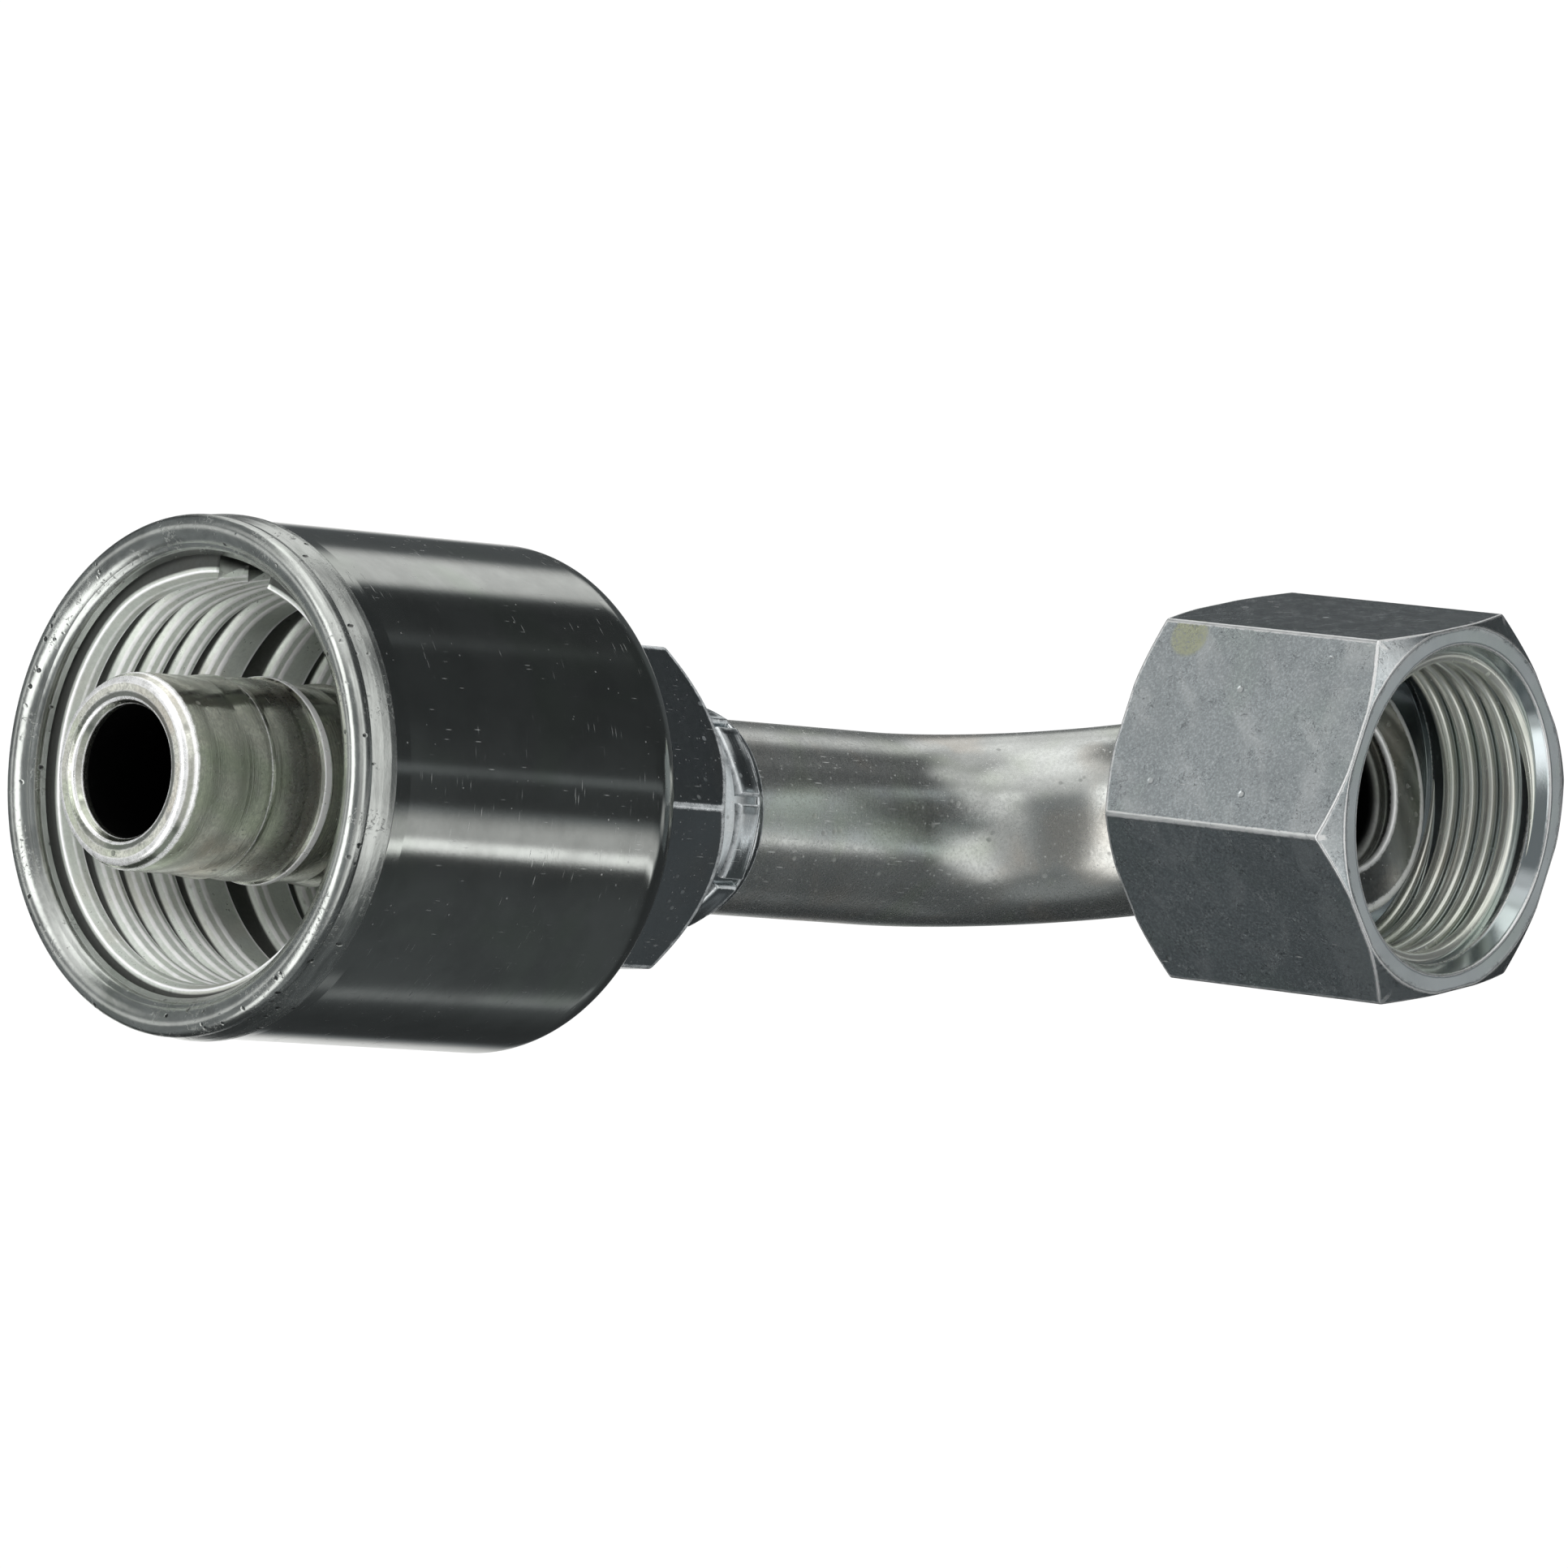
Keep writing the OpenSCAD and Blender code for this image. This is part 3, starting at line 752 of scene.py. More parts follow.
class HOSEEND_OT_insert(bpy.types.Operator):
    """Form the split grip ring inside the ferrule"""
    bl_idname = "hoseend.insert"
    bl_label = "Grip insert"

    def execute(self, context):
        sizes = context.scene.hoseend_insert
        land, groove = sizes.land / MM / 2, sizes.groove / MM / 2
        start, end = INSERT_START / MM, INSERT_END / MM
        # Where each rib starts, its crown and its gripping edge, from the mouth.
        ribs = ((4.0, 5.5, 5.9), (6.5, 7.9, 8.3), (8.9, 10.3, 10.7), (11.4, 12.9, 15.0),
                (16.8, 18.3, 20.5), (21.3, 22.6, end))
        first_edge = 3.3
        edges = [first_edge] + [rib[2] for rib in ribs]
        outer, front = INSERT_OUTSIDE / MM / 2, start + 0.6
        corners = [(outer, front, 0.1), (outer, end, 0.1)]
        for (low, crown, high), before in reversed(list(zip(ribs, edges))):
            corners += [(land, high, 0.05), (land + 0.03, crown, 0.5),
                        (land + 0.32, crown - 0.55, 0.5), (groove - 0.15, crown - 1.0, 0.3),
                        (groove, low - 0.25, 0.3), (groove - 0.05, before + 0.2, 0.15)]
        corners += [(land, first_edge, 0.05), (land + 0.08, first_edge - 0.6, 0.5),
                    (land + 0.4, front, 0.08)]
        half = math.degrees(sizes.slit / MM / 2 / land)
        turn = math.degrees(sizes.turn)
        outline, wear_and_painted_light = rounded(corners)
        steps = 256
        points, faces = swept_round(outline, steps, turn + half, 360 - 2 * half)
        points = self.sprung(points, len(outline), edges, start, turn - half)
        # Painted shade: the groove bottoms and all beyond them are painted near black.
        groove_painted_shade = -0.9
        wear_and_painted_light = np.where(outline[:, 0] > groove - 0.3, groove_painted_shade, wear_and_painted_light)
        piece = add_piece("grip_ring", points, faces, HOSE_AXIS, np.repeat(wear_and_painted_light, steps + 1))
        material = plated_steel("sprung_ring", HOSE_AXIS, sizes.tone, 0.22, streak=0.5,
                                dash=0.2, pit=0.1, tint=0.4, edge=0.9, mottle=0.15, metallic=0.6)
        finished(piece, material, "coupling", "grip_insert")
        return {"FINISHED"}

    def sprung(self, points, rows, edges, start, left):
        """The ring's ends bent inwards beside its slit, each rib cut back towards its edge."""
        points = points.reshape(rows, -1, 3)
        height = points[:, :1, 2]
        rib = np.searchsorted(edges, np.minimum(height, edges[-1]) - 0.02)
        low = np.array([start] + [e + 0.5 for e in edges[:-1]])[rib]
        along = np.clip((height - low) / (np.array(edges)[rib] - low), 0, 1)
        lean = np.radians(3 - 10 * along)
        share = np.linspace(0, 1, points.shape[1])[None] ** 4
        angle = np.arctan2(points[..., 1], points[..., 0]) + lean * share
        reach = np.hypot(points[..., 0], points[..., 1])
        away = (math.radians(left) - angle + math.pi) % TURN - math.pi
        bent_turn, sharpness, inwards = math.radians(44), 1.45, 0.5
        near = np.clip(1 - np.abs(away) / bent_turn, 0, 1) * sharpness
        near = np.clip(near, 0, 1)
        reach = reach - inwards * near * near * (3 - 2 * near)
        bent = np.stack([reach * np.cos(angle), reach * np.sin(angle), points[..., 2]], 2)
        return bent.reshape(-1, 3)


def crimp_mark_tree(material):
    """Geometry Nodes that set rounded pads round an axis, each a little out of step."""
    g = Growth("crimp_marks", Geometry=["Pad"], Int=["Count", "Seed"],
               Float=["Radius", "Stagger"])
    given = g.given
    ring = g.node("GeometryNodeMeshCircle", {},
                  {"Vertices": given["Count"], "Radius": given["Radius"]})
    random = g.node("FunctionNodeRandomValue", {}, {"Seed": given["Seed"], 2: -1.0, 3: 1.0}, 1)
    moved = g.node("GeometryNodeSetPosition", {},
                   {"Geometry": ring, "Offset": g.joined(0.0, 0.0, random * given["Stagger"])})
    aimed = g.node("FunctionNodeAlignEulerToVector", {"axis": "X", "pivot_axis": "Z"},
                   {"Vector": g.node("GeometryNodeInputPosition")})
    copies = g.node("GeometryNodeInstanceOnPoints", {},
                    {"Points": moved, "Instance": given["Pad"], "Rotation": aimed})
    return g.dressed(copies, material)


def grown(tree, name, values, start=None):
    """Points, faces and wear of what a Geometry Nodes tree makes, from a mesh if it needs one."""
    holder = new_object(name, start or bpy.data.meshes.new(name))
    modifier = holder.modifiers.new("made", "NODES")
    modifier.node_group = tree
    names = {item.name: item.identifier for item in tree.interface.items_tree
             if item.item_type == "SOCKET" and item.in_out == "INPUT"}
    for key, value in values.items():
        modifier[names[key]] = value
    shown = holder.evaluated_get(bpy.context.evaluated_depsgraph_get())
    made = bpy.data.meshes.new_from_object(shown)
    holder.modifiers.remove(modifier)
    bpy.data.objects.remove(holder)
    points = np.empty(len(made.vertices) * 3)
    made.vertices.foreach_get("co", points)
    faces = [list(p.vertices) for p in made.polygons]
    wear_and_painted_light = None
    if "wear_and_painted_light" in made.attributes:
        wear_and_painted_light = np.empty(len(made.vertices), np.float32)
        made.attributes["wear_and_painted_light"].data.foreach_get("value", wear_and_painted_light)
    bpy.data.meshes.remove(made)
    return points.reshape(-1, 3), faces, wear_and_painted_light


def pad_mesh(radius, low, high, half_turn, thickness):
    """One crimp mark: a shallow plate with soft edges, pressed flat in its middle."""
    across = np.radians(np.array([-1, -.985, -.95, -.9, -.7, -.4, 0, .4, .7, .9, .95, .985, 1])
                        * half_turn)
    span = high - low
    along = np.array([0, .03, .08, .15, .35, .6, .8, .88, .94, .98, 1.0]) * span + low
    lift_across = np.array([0, .55, .85, 1, 1, 1, 1, 1, 1, 1, .85, .55, 0])
    lift_along = np.array([0.2, .6, .9, 1, 1, 1, 1, 1.08, 1.0, .6, 0])
    flat = radius * math.cos(math.radians(half_turn) * 0.8)
    rows = []
    for s, lift_s in zip(along, lift_along):
        for angle, lift_a in zip(across, lift_across):
            top = 0.5 * radius + 0.5 * flat / max(math.cos(angle), 0.5)
            rows.append((top - thickness * (1 - min(lift_s, lift_a) if lift_s <= 1
                                             else 1 - lift_s * lift_a), angle, s))
    top = np.array([(r * math.cos(a), r * math.sin(a), s) for r, a, s in rows])
    sunk = radius - 1.2
    under = np.array([(sunk * math.cos(a), sunk * math.sin(a), s) for r, a, s in rows])
    wide, deep = len(across), len(along)
    points = np.vstack([top, under])
    faces = grid_faces(deep, wide, False, False)
    faces = np.vstack([faces, faces[:, ::-1] + wide * deep]).tolist()
    edge = ([(0, j) for j in range(wide)] + [(i, wide - 1) for i in range(1, deep)]
            + [(deep - 1, j) for j in range(wide - 2, -1, -1)]
            + [(i, 0) for i in range(deep - 2, 0, -1)])
    ids = [i * wide + j for i, j in edge]
    for a, b in zip(ids, ids[1:] + ids[:1]):
        faces.append([b, a, a + wide * deep, b + wide * deep])
    wear_and_painted_light = np.concatenate([[1.0 if 0 < min(ls, la) < 0.95 or ls > 1 else 0.0
                            for ls in lift_along for la in lift_across],
                           np.zeros(wide * deep)])
    return points, faces, wear_and_painted_light


class HOSEEND_OT_stem(bpy.types.Operator):
    """Turn the barbed stem, its hexagon and the crimped collar"""
    bl_idname = "hoseend.stem"
    bl_label = "Stem"

    def execute(self, context):
        sizes = context.scene.hoseend_stem
        bright = plated_steel("stem_plating", HOSE_AXIS, sizes.tone, 0.05, streak=0.5, dash=0.35,
                              pit=0.25, tint=1.2, edge=0.8, mottle=0.3, metallic=0.985)
        dark = plated_steel("hexagon_plating", HOSE_AXIS, sizes.dark, 0.09, streak=0.5,
                            dash=0.4, pit=0.1, tint=0.2, edge=0.7, mottle=0.12,
                            dash_round=False)
        collar_length = 6.5
        back, end = SHELL_LENGTH / MM, STEM_BACK / MM
        hex_end = end - collar_length
        inner, collar = TUBE_DIAMETER / MM / 2 + 0.01, sizes.collar / MM / 2
        self.barbs(sizes, back, bright)
        self.hexagon(sizes, back, hex_end, inner, collar, dark)
        self.collar(sizes, hex_end, end, inner, collar, dark)
        return {"FINISHED"}

    def barbs(self, sizes, back, material):
        """The nose, its low barbs and one sharp ridge, back to the shoulder of the lock."""
        bore, body = sizes.bore / MM / 2, sizes.body / MM / 2
        barb, ridge, front = sizes.barb / MM / 2, sizes.ridge / MM / 2, -sizes.nose / MM
        shoulder, lock = 8.8, back - LOCK_DEPTH
        shoulder_start = lock - 1.5
        corners = [(bore, front + 1.1, 0), (bore, front + 0.62, 0.1),
                   (bore + 0.3, front + 0.12, 0.25), (bore + 0.75, front, 0.3),
                   (body - 0.45, front, 0.45), (body - 0.03, front + 0.8, 0.6),
                   (body, front + 2.2, 0.8)]
        sharp_place = 6.6
        for place in (1.9, 4.5, sharp_place, 11.5, 14.7, 17.9):
            if place == sharp_place:
                corners += [(body, place - 1.2, 0.4), (body + 0.16, place - 0.3, 0.15),
                            (ridge, place - 0.05, 0.12), (ridge, place + 0.4, 0.12),
                            (body, place + 0.8, 0.12)]
            else:
                corners += [(body, place - 1.6, 0.9), (barb, place, 0.35),
                            (barb, place + 0.25, 0.3), (body, place + 0.75, 0.3)]
        corners += [(body, shoulder_start, 0.2), (shoulder, shoulder_start, 0.3),
                    (shoulder, lock, 0.1), (LOCK_RADIUS, lock, 0.1), (LOCK_RADIUS, back, 0),
                    (bore, back, 0)]
        outline, wear_and_painted_light = rounded(corners)
        reach, far = outline.T
        # Painted shade: a dark reflection band on the barbs, and a near-black bore.
        dark_reflection_band = (far > 3.4) & (far < 6.2)
        in_bore = (reach < bore + 0.01) & (far > front + 0.9)
        painted_shade, bore_painted_shade, ridge_wear_and_highlight = -0.5, -1.0, 1.3
        wear_and_painted_light = np.where(dark_reflection_band, painted_shade, wear_and_painted_light)
        # Worn, and pale as a painted highlight: the ridge's crest is set past full wear.
        wear_and_painted_light = np.where(reach > ridge - 0.04, ridge_wear_and_highlight, wear_and_painted_light)
        wear_and_painted_light = np.where(in_bore, bore_painted_shade, wear_and_painted_light)
        steps = 224
        points, faces = swept_round(outline, steps)
        stem = add_piece("stem_barbs", points, faces, HOSE_AXIS, np.repeat(wear_and_painted_light, steps))
        finished(stem, material, "coupling", "hose_stem")

    def hexagon(self, sizes, back, hex_end, inner, collar, material):
        """The hexagon, its corners chamfered in front and falling away behind."""
        flats = sizes.flats / MM
        corner_rise = flats * 0.0773
        front_slope, rear_slope, rear_gap = 0.8, 1.25, 0.35

        def outline_at(reach):
            over = max(0.0, reach - flats / 2)
            front_rise = front_slope * over / corner_rise
            rear = hex_end - rear_gap - rear_slope * over
            return [(inner, back + 0.02, 0), (flats / 2 - 0.05, back + 0.02, 0.08),
                    (reach, back + 0.12 + front_rise, 0.25), (reach, rear, 0.5),
                    (flats / 2 - 0.6, hex_end - 0.05, 0.8), (collar + 0.9, hex_end, 0.5),
                    (inner, hex_end, 0)]

        piece = hexagon_piece("stem_hexagon", flats, 0.35, math.degrees(sizes.roll),
                              outline_at, HOSE_AXIS)
        finished(piece, material, "coupling", "hose_stem")

    def collar(self, sizes, hex_end, end, inner, collar, material):
        """The crimped collar and the marks of the jaws round it."""
        gap, thickness = 4.0, 0.42
        floor = collar - thickness
        corners = [(inner, hex_end - 0.5, 0), (floor, hex_end - 0.5, 0), (floor, end - 1.0, 0.1),
                   (collar - 0.26, end - 0.85, 0.15), (collar - 0.5, end - 0.15, 0.35),
                   (inner + 0.25, end, 0.15), (inner, end - 0.1, 0)]
        ring = turned_piece("collar_ring", corners, HOSE_AXIS, 192)
        finished(ring, material, "coupling", "hose_stem")

        half = (360 / sizes.pads - gap) / 2
        points, faces, wear_and_painted_light = pad_mesh(collar, end - 3.0, end - 1.0, half, thickness)
        points = points - np.array([collar, 0, 0])
        pad = bpy.data.meshes.new("crimp_pad")
        pad.from_pydata(points.tolist(), [], faces)
        set_wear_and_painted_light(pad, wear_and_painted_light)
        values = {"Count": sizes.pads, "Radius": collar, "Stagger": 0.12, "Seed": 3}
        points, faces, wear_and_painted_light = grown(crimp_mark_tree(material), "crimp_marks", values, pad)
        roll = turned_about("Z", math.degrees(sizes.crimp))
        marks = add_piece("collar_pads", points @ roll.T, faces, HOSE_AXIS, wear_and_painted_light)
        finished(marks, material, "coupling", "hose_stem")


def tube_tree(material):
    """Geometry Nodes that sweep a round section along a path with one filleted corner."""
    path_points = ["Start", "Corner", "End"]
    g = Growth("bent_tube", Vector=path_points, Float=["Bend Radius", "Tube Radius", "Step"],
               Int=["Round Steps"])
    given = g.given
    line = g.node("GeometryNodeMeshLine", {}, {"Count": len(path_points)})
    pick = g.tree.nodes.new("GeometryNodeIndexSwitch")
    pick.data_type = "VECTOR"
    pick.index_switch_items.new()
    choices = [g.node("GeometryNodeInputIndex")] + [given[name] for name in path_points]
    spot = g.filled(pick, dict(enumerate(choices)))
    placed = g.node("GeometryNodeSetPosition", {}, {"Geometry": line, "Position": spot})
    path = g.node("GeometryNodeMeshToCurve", {}, {0: placed})
    bent = g.node("GeometryNodeFilletCurve", {"mode": "POLY"},
                  {"Curve": path, "Count": 60, "Radius": given["Bend Radius"]})
    fine = g.node("GeometryNodeResampleCurve", {"mode": "LENGTH"},
                  {"Curve": bent, "Length": given["Step"]})
    section = g.node("GeometryNodeCurvePrimitiveCircle", {},
                     {"Resolution": given["Round Steps"], "Radius": given["Tube Radius"]})
    swept = g.node("GeometryNodeCurveToMesh", {}, {"Curve": fine, "Profile Curve": section})
    return g.dressed(swept, material)


class HOSEEND_OT_tube(bpy.types.Operator):
    """Bend the tube and add the seat sleeve, the braze and the hidden seal ring"""
    bl_idname = "hoseend.tube"
    bl_label = "Tube and seat"

    def execute(self, context):
        sizes = context.scene.hoseend_tube
        corner, radius = TUBE_CORNER / MM, sizes.tube / MM / 2
        face_y = SEAT_FACE / MM
        nut_side = Place(turned_about("X", -90), (-corner, 0, 0))
        material = plated_steel("tube_plating", HOSE_AXIS, sizes.tone, 0.17, streak=0.15,
                                dash=0.55, pit=0.15, tint=0.6, edge=0.5, mottle=0.2,
                                dash_round=False, metallic=0.97)
        seat_depth = 1.1
        values = {"Start": (-TUBE_START / MM, 0, 0), "Corner": (-corner, 0, 0),
                  "End": (-corner, face_y - seat_depth, 0), "Bend Radius": sizes.bend / MM,
                  "Tube Radius": radius, "Step": 0.45, "Round Steps": 112}
        points, faces, _ = grown(tube_tree(material), "bent_tube", values)
        tube = self.walled(points, faces, sizes.wall)
        finished(tube, material, "coupling", "elbow_tube")

        sleeve, seat = sizes.sleeve / MM / 2, sizes.seat_bore / MM / 2
        land, back, step = face_y - 3.2, face_y - 4.9, face_y - 1.09
        socket = radius + 0.005
        corners = [(socket, back, 0), (sleeve - 1.7, back, 0.1), (sleeve, land, 0.3),
                   (sleeve, face_y, 0.5), (seat, face_y, 0.22), (seat, step, 0),
                   (socket, step, 0)]
        seat_piece = turned_piece("seat_sleeve_face", corners, nut_side, 192)
        # Painted shade: the seat takes the tube's plating darkened to 0.6, sunk deep in the nut.
        seat_metal = plated_steel("seat_plating", nut_side, shaded(sizes.tone), 0.1, streak=0.5,
                                  dash=0.2, pit=0.15, tint=0.6, edge=0.9, mottle=0.2)
        finished(seat_piece, seat_metal, "coupling", "seat_sleeve")

        low, wide = BRAZE_BACK / MM, BRAZE_DIAMETER / MM / 2
        root = radius + 0.004
        corners = [(root, low, 0), (radius + 0.22, low + 0.35, 0.3), (wide, back, 0.02),
                   (root, back, 0)]
        braze = turned_piece("braze_fillet", corners, nut_side, 144)
        finished(braze, braze_metal("braze", nut_side, sizes.braze), "coupling", "braze_ring")

        seal_radius, seal_steps = SEAL_WIDTH / MM / 2, 24
        corners = [(radius + seal_radius + seal_radius * math.cos(a),
                    SEAL_PLACE / MM + seal_radius * math.sin(a), 0)
                   for a in np.arange(seal_steps) * TURN / seal_steps]
        seal = turned_piece("seal_ring", corners, HOSE_AXIS, 128)
        rubber = seal_rubber("seal_rubber", HOSE_AXIS, sizes.rubber)
        finished(seal, rubber, "coupling", "tube_seal")
        return {"FINISHED"}

    def walled(self, points, faces, wall):
        """The swept skin with its wall and end faces."""
        mesh = bpy.data.meshes.new("elbow_pipe")
        mesh.from_pydata((points * MM).tolist(), [], faces)
        mesh.shade_smooth()
        mesh.validate()
        piece = new_object("elbow_pipe", mesh)
        first = mesh.polygons[0]
        away = first.center - Vector((first.center.x, 0, 0))
        if first.normal.dot(away) < 0:
            mesh.flip_normals()
        shell = piece.modifiers.new("wall", "SOLIDIFY")
        shell.thickness = wall
        shell.offset = -1
        shell.use_rim = True
        shown = piece.evaluated_get(bpy.context.evaluated_depsgraph_get())
        made = bpy.data.meshes.new_from_object(shown)
        piece.modifiers.remove(shell)
        piece.data = made
        wear_and_painted_light = np.zeros(len(made.vertices))
        # Painted shade: the inner wall added by the solidify is painted near black.
        wear_and_painted_light[len(points):] = -1.0
        set_wear_and_painted_light(made, wear_and_painted_light)
        return piece


def thread_tree(material):
    """Geometry Nodes that sweep a rounded thread form along a helix, fading at both ends."""
    g = Growth("inner_thread", Int=["Steps"], Float=["Radius", "Depth", "Pitch", "Turns", "Root",
                                                     "Crest", "Rounding", "Fade"])
    given = g.given
    helix = g.node("GeometryNodeCurveSpiral", {},
                   {"Resolution": given["Steps"], "Rotations": given["Turns"],
                    "Start Radius": given["Radius"], "End Radius": given["Radius"],
                    "Height": given["Pitch"] * given["Turns"]})
    upright = g.node("GeometryNodeSetCurveNormal", {"mode": "Z_UP"}, {"Curve": helix})
    along = g.node("GeometryNodeSplineParameter", output="Factor")
    grown_to = (along.lowest(1.0 - along) / given["Fade"]).lowest(1.0)
    half_root, half_crest = given["Root"] * 0.5, given["Crest"] * 0.5
    corners = {}
    for side, half, lift in ((-1, half_root, 0.0), (-1, half_crest, 1.0),
                             (1, half_crest, 1.0), (1, half_root, 0.0)):
        corners[f"Point {len(corners) + 1}"] = g.joined(given["Depth"] * lift, half * side, 0.0)
    section = g.node("GeometryNodeCurvePrimitiveQuadrilateral", {"mode": "POINTS"}, corners)
    soft = g.node("GeometryNodeFilletCurve", {"mode": "POLY"},
                  {"Curve": section, "Count": 4, "Limit Radius": True,
                   "Radius": given["Rounding"]})
    swept = g.node("GeometryNodeCurveToMesh", {},
                   {"Curve": upright, "Profile Curve": soft, "Scale": grown_to,
                    "Fill Caps": True})
    return g.dressed(swept, material)


class HOSEEND_OT_nut(bpy.types.Operator):
    """Cut the swivel nut and its inner thread"""
    bl_idname = "hoseend.nut"
    bl_label = "Swivel nut"

    def execute(self, context):
        sizes = context.scene.hoseend_nut
        flats, depth = sizes.flats / MM, sizes.depth / MM
        major, minor, pitch = sizes.major / MM / 2, sizes.minor / MM / 2, sizes.pitch / MM
        turn = (turned_about("Z", math.degrees(sizes.yaw))
                @ turned_about("X", -90 - math.degrees(sizes.droop)))
        place = Place(turn, np.array(sizes.back) / MM)
        face_radius, corner_drop = 12.0, 1.05
        chamfer = corner_drop / (flats / math.sqrt(3) - face_radius)
        relief, hole, lip = 10.4, 8.25, 2.2
        sink, thread_end, thread_floor = 10.75, 9.9, major - 0.12

        def nut_outline(reach):
            face = min(face_radius, reach - 0.12)
            drop = (reach - face) * chamfer
            return [(face, 0, 0.12), (reach, drop, 0.14), (reach, depth - drop, 0.14),
                    (face, depth, 0.12), (sink, depth, 0.1), (thread_floor, depth - 1.25, 0.25),
                    (thread_floor, thread_end, 0.3), (relief, thread_end - 0.6, 0.3),
                    (relief, lip + relief - hole, 0.5), (hole, lip, 0.2), (hole, 0, 0.25)]

        nut = hexagon_piece("nut_body", flats, 0.3, math.degrees(sizes.roll), nut_outline, place)
        face = self.flat_spot(place)
        material = nut_steel("nut_plating", place, sizes.tone, face)
        finished(nut, material, "nut", "swivel_nut")

        # Painted light: the thread's plating is lighter than the nut body's, for the nut's shade.
        lit_thread_metal = plated_steel("lit_thread_plating", place, sizes.thread, 0.17, streak=0.1,
                                    dash=0.02, pit=0.0, tint=0.4, edge=0.0, mottle=0.0,
                                    metallic=0.9)
        root = major + 0.02
        values = {"Radius": root, "Depth": root - minor, "Pitch": pitch,
                  "Turns": 5.1, "Root": 1.45, "Crest": 0.7, "Rounding": 0.35, "Fade": 0.03,
                  "Steps": 128}
        points, faces, _ = grown(thread_tree(lit_thread_metal), "inner_thread", values)
        start_turn, start_height = 200, 9.95
        points = points @ turned_about("Z", start_turn).T + np.array([0, 0, start_height])
        thread = add_piece("nut_thread", points, faces, place, np.zeros(len(points)))
        finished(thread, lit_thread_metal, "nut", "swivel_nut")
        return {"FINISHED"}

    def flat_spot(self, place):
        """Middle of the round stain on the flat that faces the hose."""
        spot = np.array([-68.91, 22.99, 9.8])
        return tuple(place.turn.T @ (spot - place.offset))


# ---------------------------------------------------------------- stage

VIEW_DIRECTION = (-0.7089, -0.69088, 0.14194)


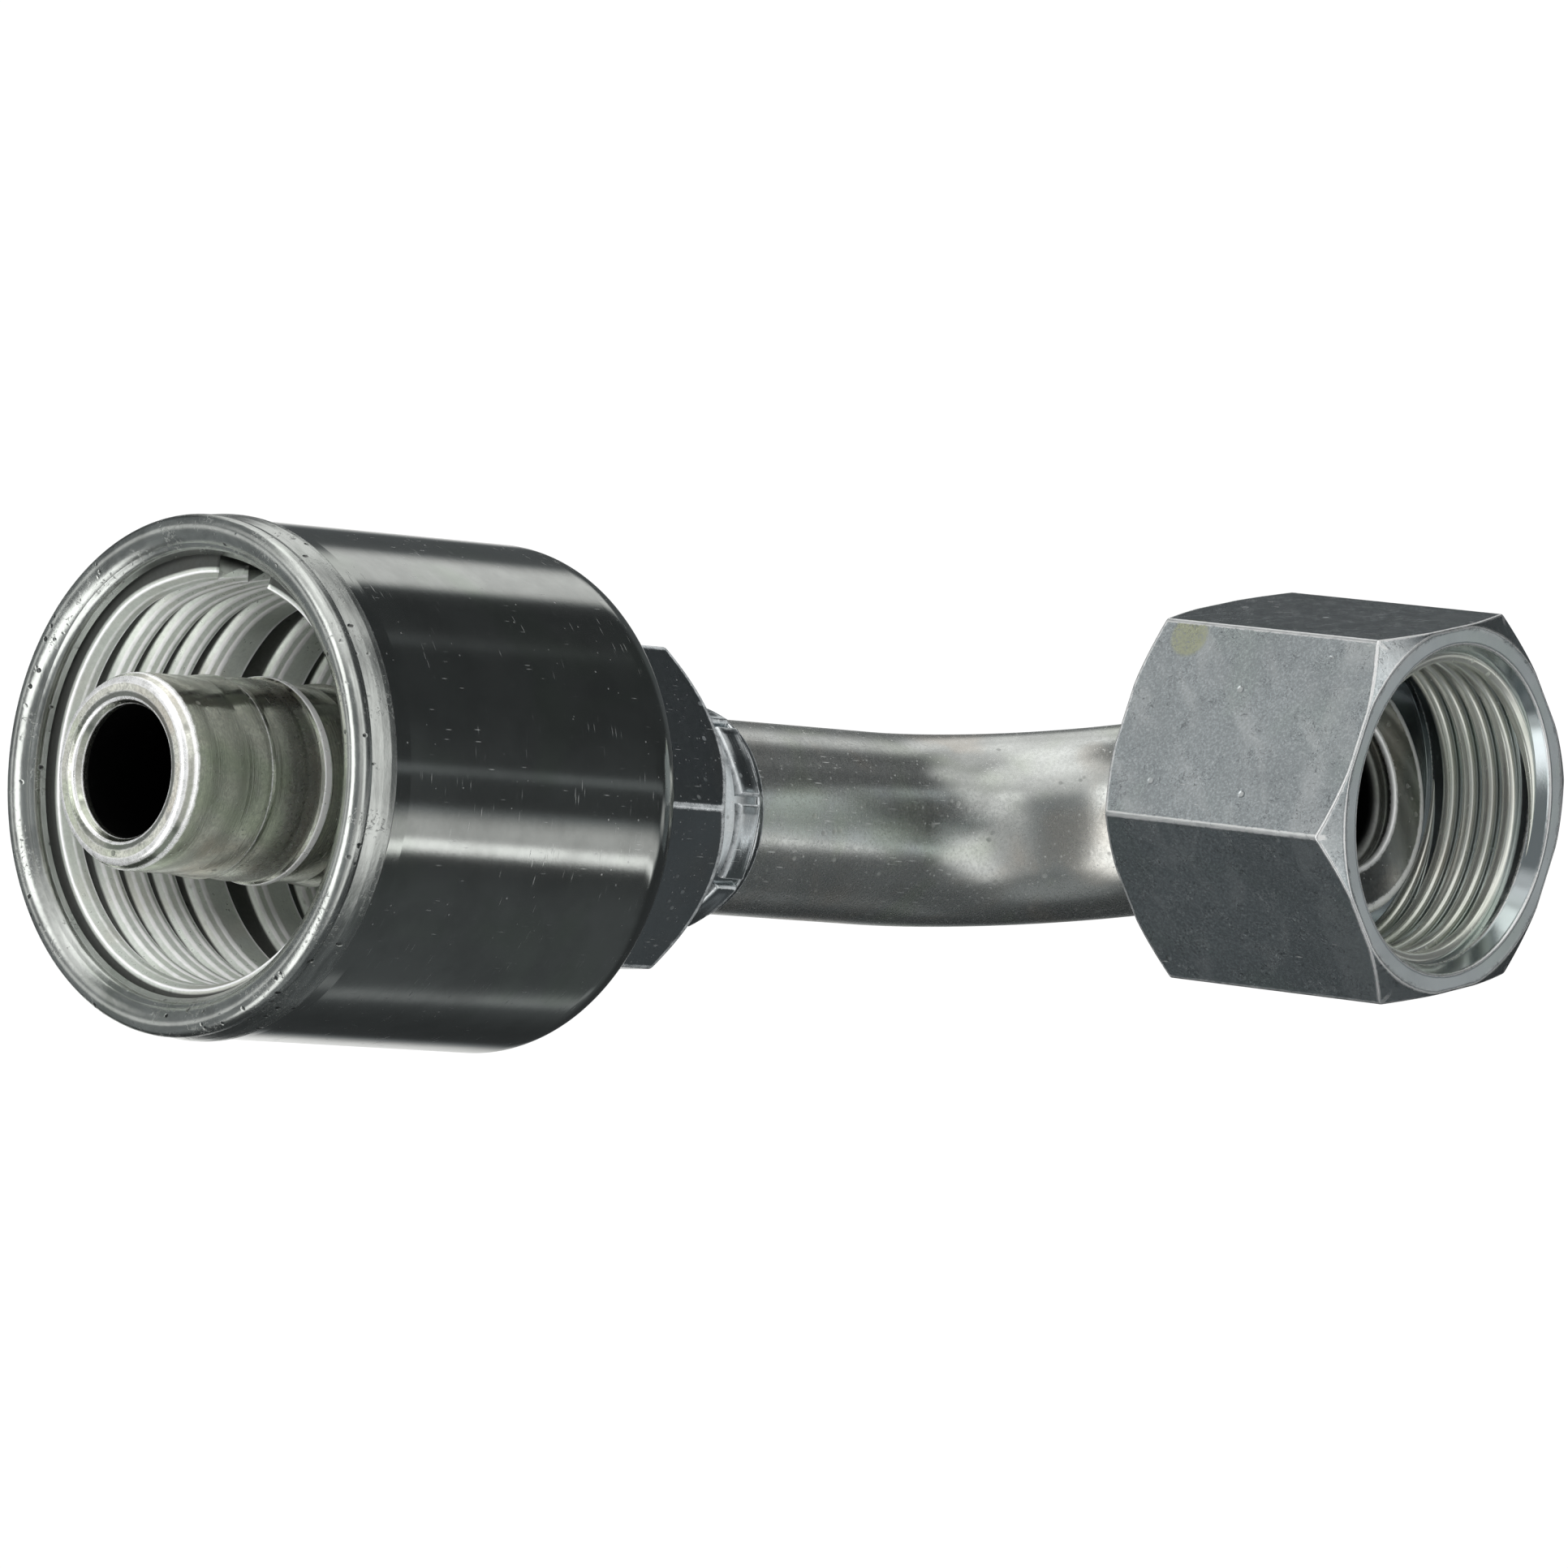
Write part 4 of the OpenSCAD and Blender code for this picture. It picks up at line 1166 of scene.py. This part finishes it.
class HOSEEND_OT_stage(bpy.types.Operator):
    """Set the floor, the soft light and the camera"""
    bl_idname = "hoseend.stage"
    bl_label = "Stage"

    def execute(self, context):
        sizes = context.scene.hoseend_stage
        self.floor(sizes)
        self.surroundings()
        self.lamp("overhead", size=0.9, power=sizes.lamp, place=(-0.02, 0.12, 0.75))
        self.lamp("front", size=0.35, power=sizes.front, place=(0.58, 0.6, 0.08))
        self.camera(sizes)
        context.scene.view_settings.view_transform = "Standard"
        return {"FINISHED"}

    def floor(self, sizes):
        """A plain floor, seen only from above."""
        reach = sizes.reach
        mesh = bpy.data.meshes.new("floor")
        corners = [(-reach, -reach), (reach, -reach), (reach, reach), (-reach, reach)]
        mesh.from_pydata([(x, y, FLOOR_HEIGHT) for x, y in corners], [], [(0, 1, 2, 3)])
        floor = new_object("floor", mesh)
        floor.visible_glossy = False
        s = new_material("floor_paper")
        at = s.node("ShaderNodeTexCoord", output=3)
        fibre = s.noise(at, 60.0, 3.0, 0.6)
        tone = s.mixed(fibre * 0.2, sizes.floor, tuple(0.94 * c for c in sizes.floor))
        paper = s.node("ShaderNodeBsdfDiffuse", {}, {"Color": tone})
        clear = s.node("ShaderNodeBsdfTransparent")
        below = s.node("ShaderNodeNewGeometry", output=6)
        shown = s.node("ShaderNodeMixShader", {}, {0: below, 1: paper, 2: clear})
        s.node("ShaderNodeOutputMaterial", {}, {0: shown})
        mesh.materials.append(s.owner)

    def surroundings(self):
        """White to the eye; soft boxes in a dark room to the metal; even light on the rest."""
        world = bpy.data.worlds.new("studio")
        bpy.context.scene.world = world
        s = Shader(world)
        towards = s.node("ShaderNodeTexCoord", output=0)
        x, y, z = s.parts(towards)
        azimuth = y.with_maths("ARCTAN2", x).in_degrees()
        elevation = z.with_maths("ARCSINE").in_degrees()

        def box(middle, half, soft, level):
            """A soft box: (azimuth, elevation) of its middle, half sizes and soft edges."""
            side = (azimuth - middle[0]).with_maths("WRAP", -180.0, 180.0)
            off = abs(side)
            up = abs(elevation - middle[1])
            lit = (off.rise(half[0] + soft[0], half[0] - soft[0])
                   * up.rise(half[1] + soft[1], half[1] - soft[1]))
            return lit * level

        def spot(direction, inner, outer, level):
            """A round glow about one direction."""
            match = s.node("ShaderNodeVectorMath", {"operation": "DOT_PRODUCT"},
                           {0: towards, 1: direction}, 1)
            angle = match.lowest(1.0).with_maths("ARCCOSINE").in_degrees()
            return angle.rise(outer, inner) * level

        boxes = [box(*shape) for shape in (
            ((0, 90), (181, 13), (1, 5), 1.4),
            ((-140, 74), (42, 16), (6, 5), 1.0),
            ((-148, 48), (28, 9), (4, 3), 0.8),
            ((150, 70), (30, 16), (6, 6), 0.6),
            ((127, 48), (23, 7), (6, 4), 0.75),
            ((33, 72), (33, 18), (6, 5), 1.3),
            ((33, 47), (33, 8), (6, 5), 0.9),
            ((33, 36), (33, 7), (8, 6), 0.6),
            ((86, 66), (21, 24), (6, 6), 1.0),
            ((-9, 62), (10, 23), (6, 8), 0.85),
            ((-29, 37), (14, 12), (5, 5), 0.5),
            ((-44, 8), (7, 9), (6, 7), 0.9),
            ((-60, 17), (32, 57), (8, 9), 0.14),
            ((-4, -13), (16, 49), (3, 6), 1.75),
            ((-29, -55), (21, 13), (8, 6), 1.45),
            ((37, -20), (24, 50), (6, 8), 0.16),
            ((104, -12), (16, 52), (16, 8), 1.0),
            ((66, 4), (8, 12), (10, 8), 0.6),
            ((-122, 5), (12, 17), (6, 6), 1.3),
            ((88, -12), (32, 52), (12, 8), 0.4),
            ((79, 22), (13, 18), (8, 10), 0.8),
            ((139, -18.5), (14, 4.5), (5, 4), 0.55),
            ((139, -23.7), (14, 1.9), (5, 1.3), 1.45),
            ((72, 31), (12, 5), (6, 5), 1.4),
            ((152, -7), (6, 4), (3, 3), 0.45),
            ((119, -27), (10, 13), (5, 4), 0.9),
            ((0, -90), (181, 18), (1, 6), 0.2),
            ((-140, 25), (40, 20), (8, 8), 0.05),
            ((165, -54), (48, 22), (10, 8), 0.045),
            ((-157, -41), (10, 1.6), (4, 1.2), 0.24),
            ((134, 0), (12, 1.5), (6, 1), 0.12),
        )]
        lit = spot(VIEW_DIRECTION, 4.0, 14.0, 0.9)
        for more in boxes:
            lit = lit.highest(more)
        dim, even_level, white_level = 0.045, 0.75, 1.05
        lit = lit + dim
        tone = s.mixed(lit.rise(0.05, 0.5), (0.9, 0.97, 1.0), (1.0, 1.0, 0.99))
        studio = s.node("ShaderNodeBackground", {}, {0: tone, 1: lit})
        even = s.node("ShaderNodeBackground", {}, {0: (0.97, 0.985, 1.0, 1.0), 1: even_level})
        white = s.node("ShaderNodeBackground", {}, {0: (1.0, 1.0, 1.0, 1.0), 1: white_level})
        path = s.tree.nodes.new("ShaderNodeLightPath")
        eye, glossy = (Value(s, path.outputs[name]) for name in ("Is Camera Ray", "Is Glossy Ray"))
        first = s.node("ShaderNodeMixShader", {}, {0: glossy, 1: even, 2: studio})
        shown = s.node("ShaderNodeMixShader", {}, {0: eye, 1: first, 2: white})
        s.node("ShaderNodeOutputWorld", {}, {0: shown})
        world.cycles.sampling_method = "NONE"

    def lamp(self, name, size, power, place):
        """A round lamp aimed at the hose end. Mirror-like surfaces do not show it."""
        light = bpy.data.lights.new(name, "AREA")
        light.shape, light.size = "DISK", size
        light.energy = power
        lamp = new_object(name, light)
        place, middle = Vector(place), Vector((-0.04, 0.01, 0.0))
        turn = (place - middle).to_track_quat("Z", "Y")
        lamp.matrix_world = Matrix.LocRotScale(place, turn, None)
        lamp.visible_glossy = False
        lamp.visible_camera = False

    def camera(self, sizes):
        data = bpy.data.cameras.new("camera")
        data.sensor_fit, data.sensor_width = "HORIZONTAL", 36.0
        data.lens = sizes.lens
        data.clip_start, data.clip_end = 0.01, 50.0
        camera = new_object("camera", data)
        place = Vector((0.526491, 0.565648, -0.113683))
        right = Vector((-0.703, 0.70839, -0.06306))
        up = Vector((0.05699, 0.14449, 0.98786))
        turn = Matrix((right, up, -Vector(VIEW_DIRECTION))).transposed()
        camera.matrix_world = Matrix.LocRotScale(place, turn.to_quaternion(), None)
        bpy.context.scene.camera = camera


class HOSEEND_PT_panel(bpy.types.Panel):
    """Lists the pieces of the hose end"""
    bl_idname = "HOSEEND_PT_panel"
    bl_label = "Hose End"
    bl_space_type = "VIEW_3D"
    bl_region_type = "UI"
    bl_category = "Hose End"

    def draw(self, context):
        for piece in PIECES:
            box = self.layout.box()
            box.operator(piece[0].bl_idname)
            sizes = getattr(context.scene, piece[1])
            for name in piece[2].__annotations__:
                box.prop(sizes, name)


PIECES = (
    (HOSEEND_OT_ferrule, "hoseend_ferrule", FerruleSizes),
    (HOSEEND_OT_insert, "hoseend_insert", InsertSizes),
    (HOSEEND_OT_stem, "hoseend_stem", StemSizes),
    (HOSEEND_OT_tube, "hoseend_tube", TubeSizes),
    (HOSEEND_OT_nut, "hoseend_nut", NutSizes),
    (HOSEEND_OT_stage, "hoseend_stage", StageSizes),
)


def register():
    for operator, name, sizes in PIECES:
        bpy.utils.register_class(sizes)
        bpy.utils.register_class(operator)
        setattr(bpy.types.Scene, name, bpy.props.PointerProperty(type=sizes))
    bpy.utils.register_class(HOSEEND_PT_panel)


def unregister():
    bpy.utils.unregister_class(HOSEEND_PT_panel)
    for operator, name, sizes in reversed(PIECES):
        delattr(bpy.types.Scene, name)
        bpy.utils.unregister_class(operator)
        bpy.utils.unregister_class(sizes)


def main():
    register()
    bpy.ops.hoseend.stage()
    bpy.ops.hoseend.ferrule()
    bpy.ops.hoseend.insert()
    bpy.ops.hoseend.stem()
    bpy.ops.hoseend.tube()
    bpy.ops.hoseend.nut()


if __name__ == "__main__":
    main()
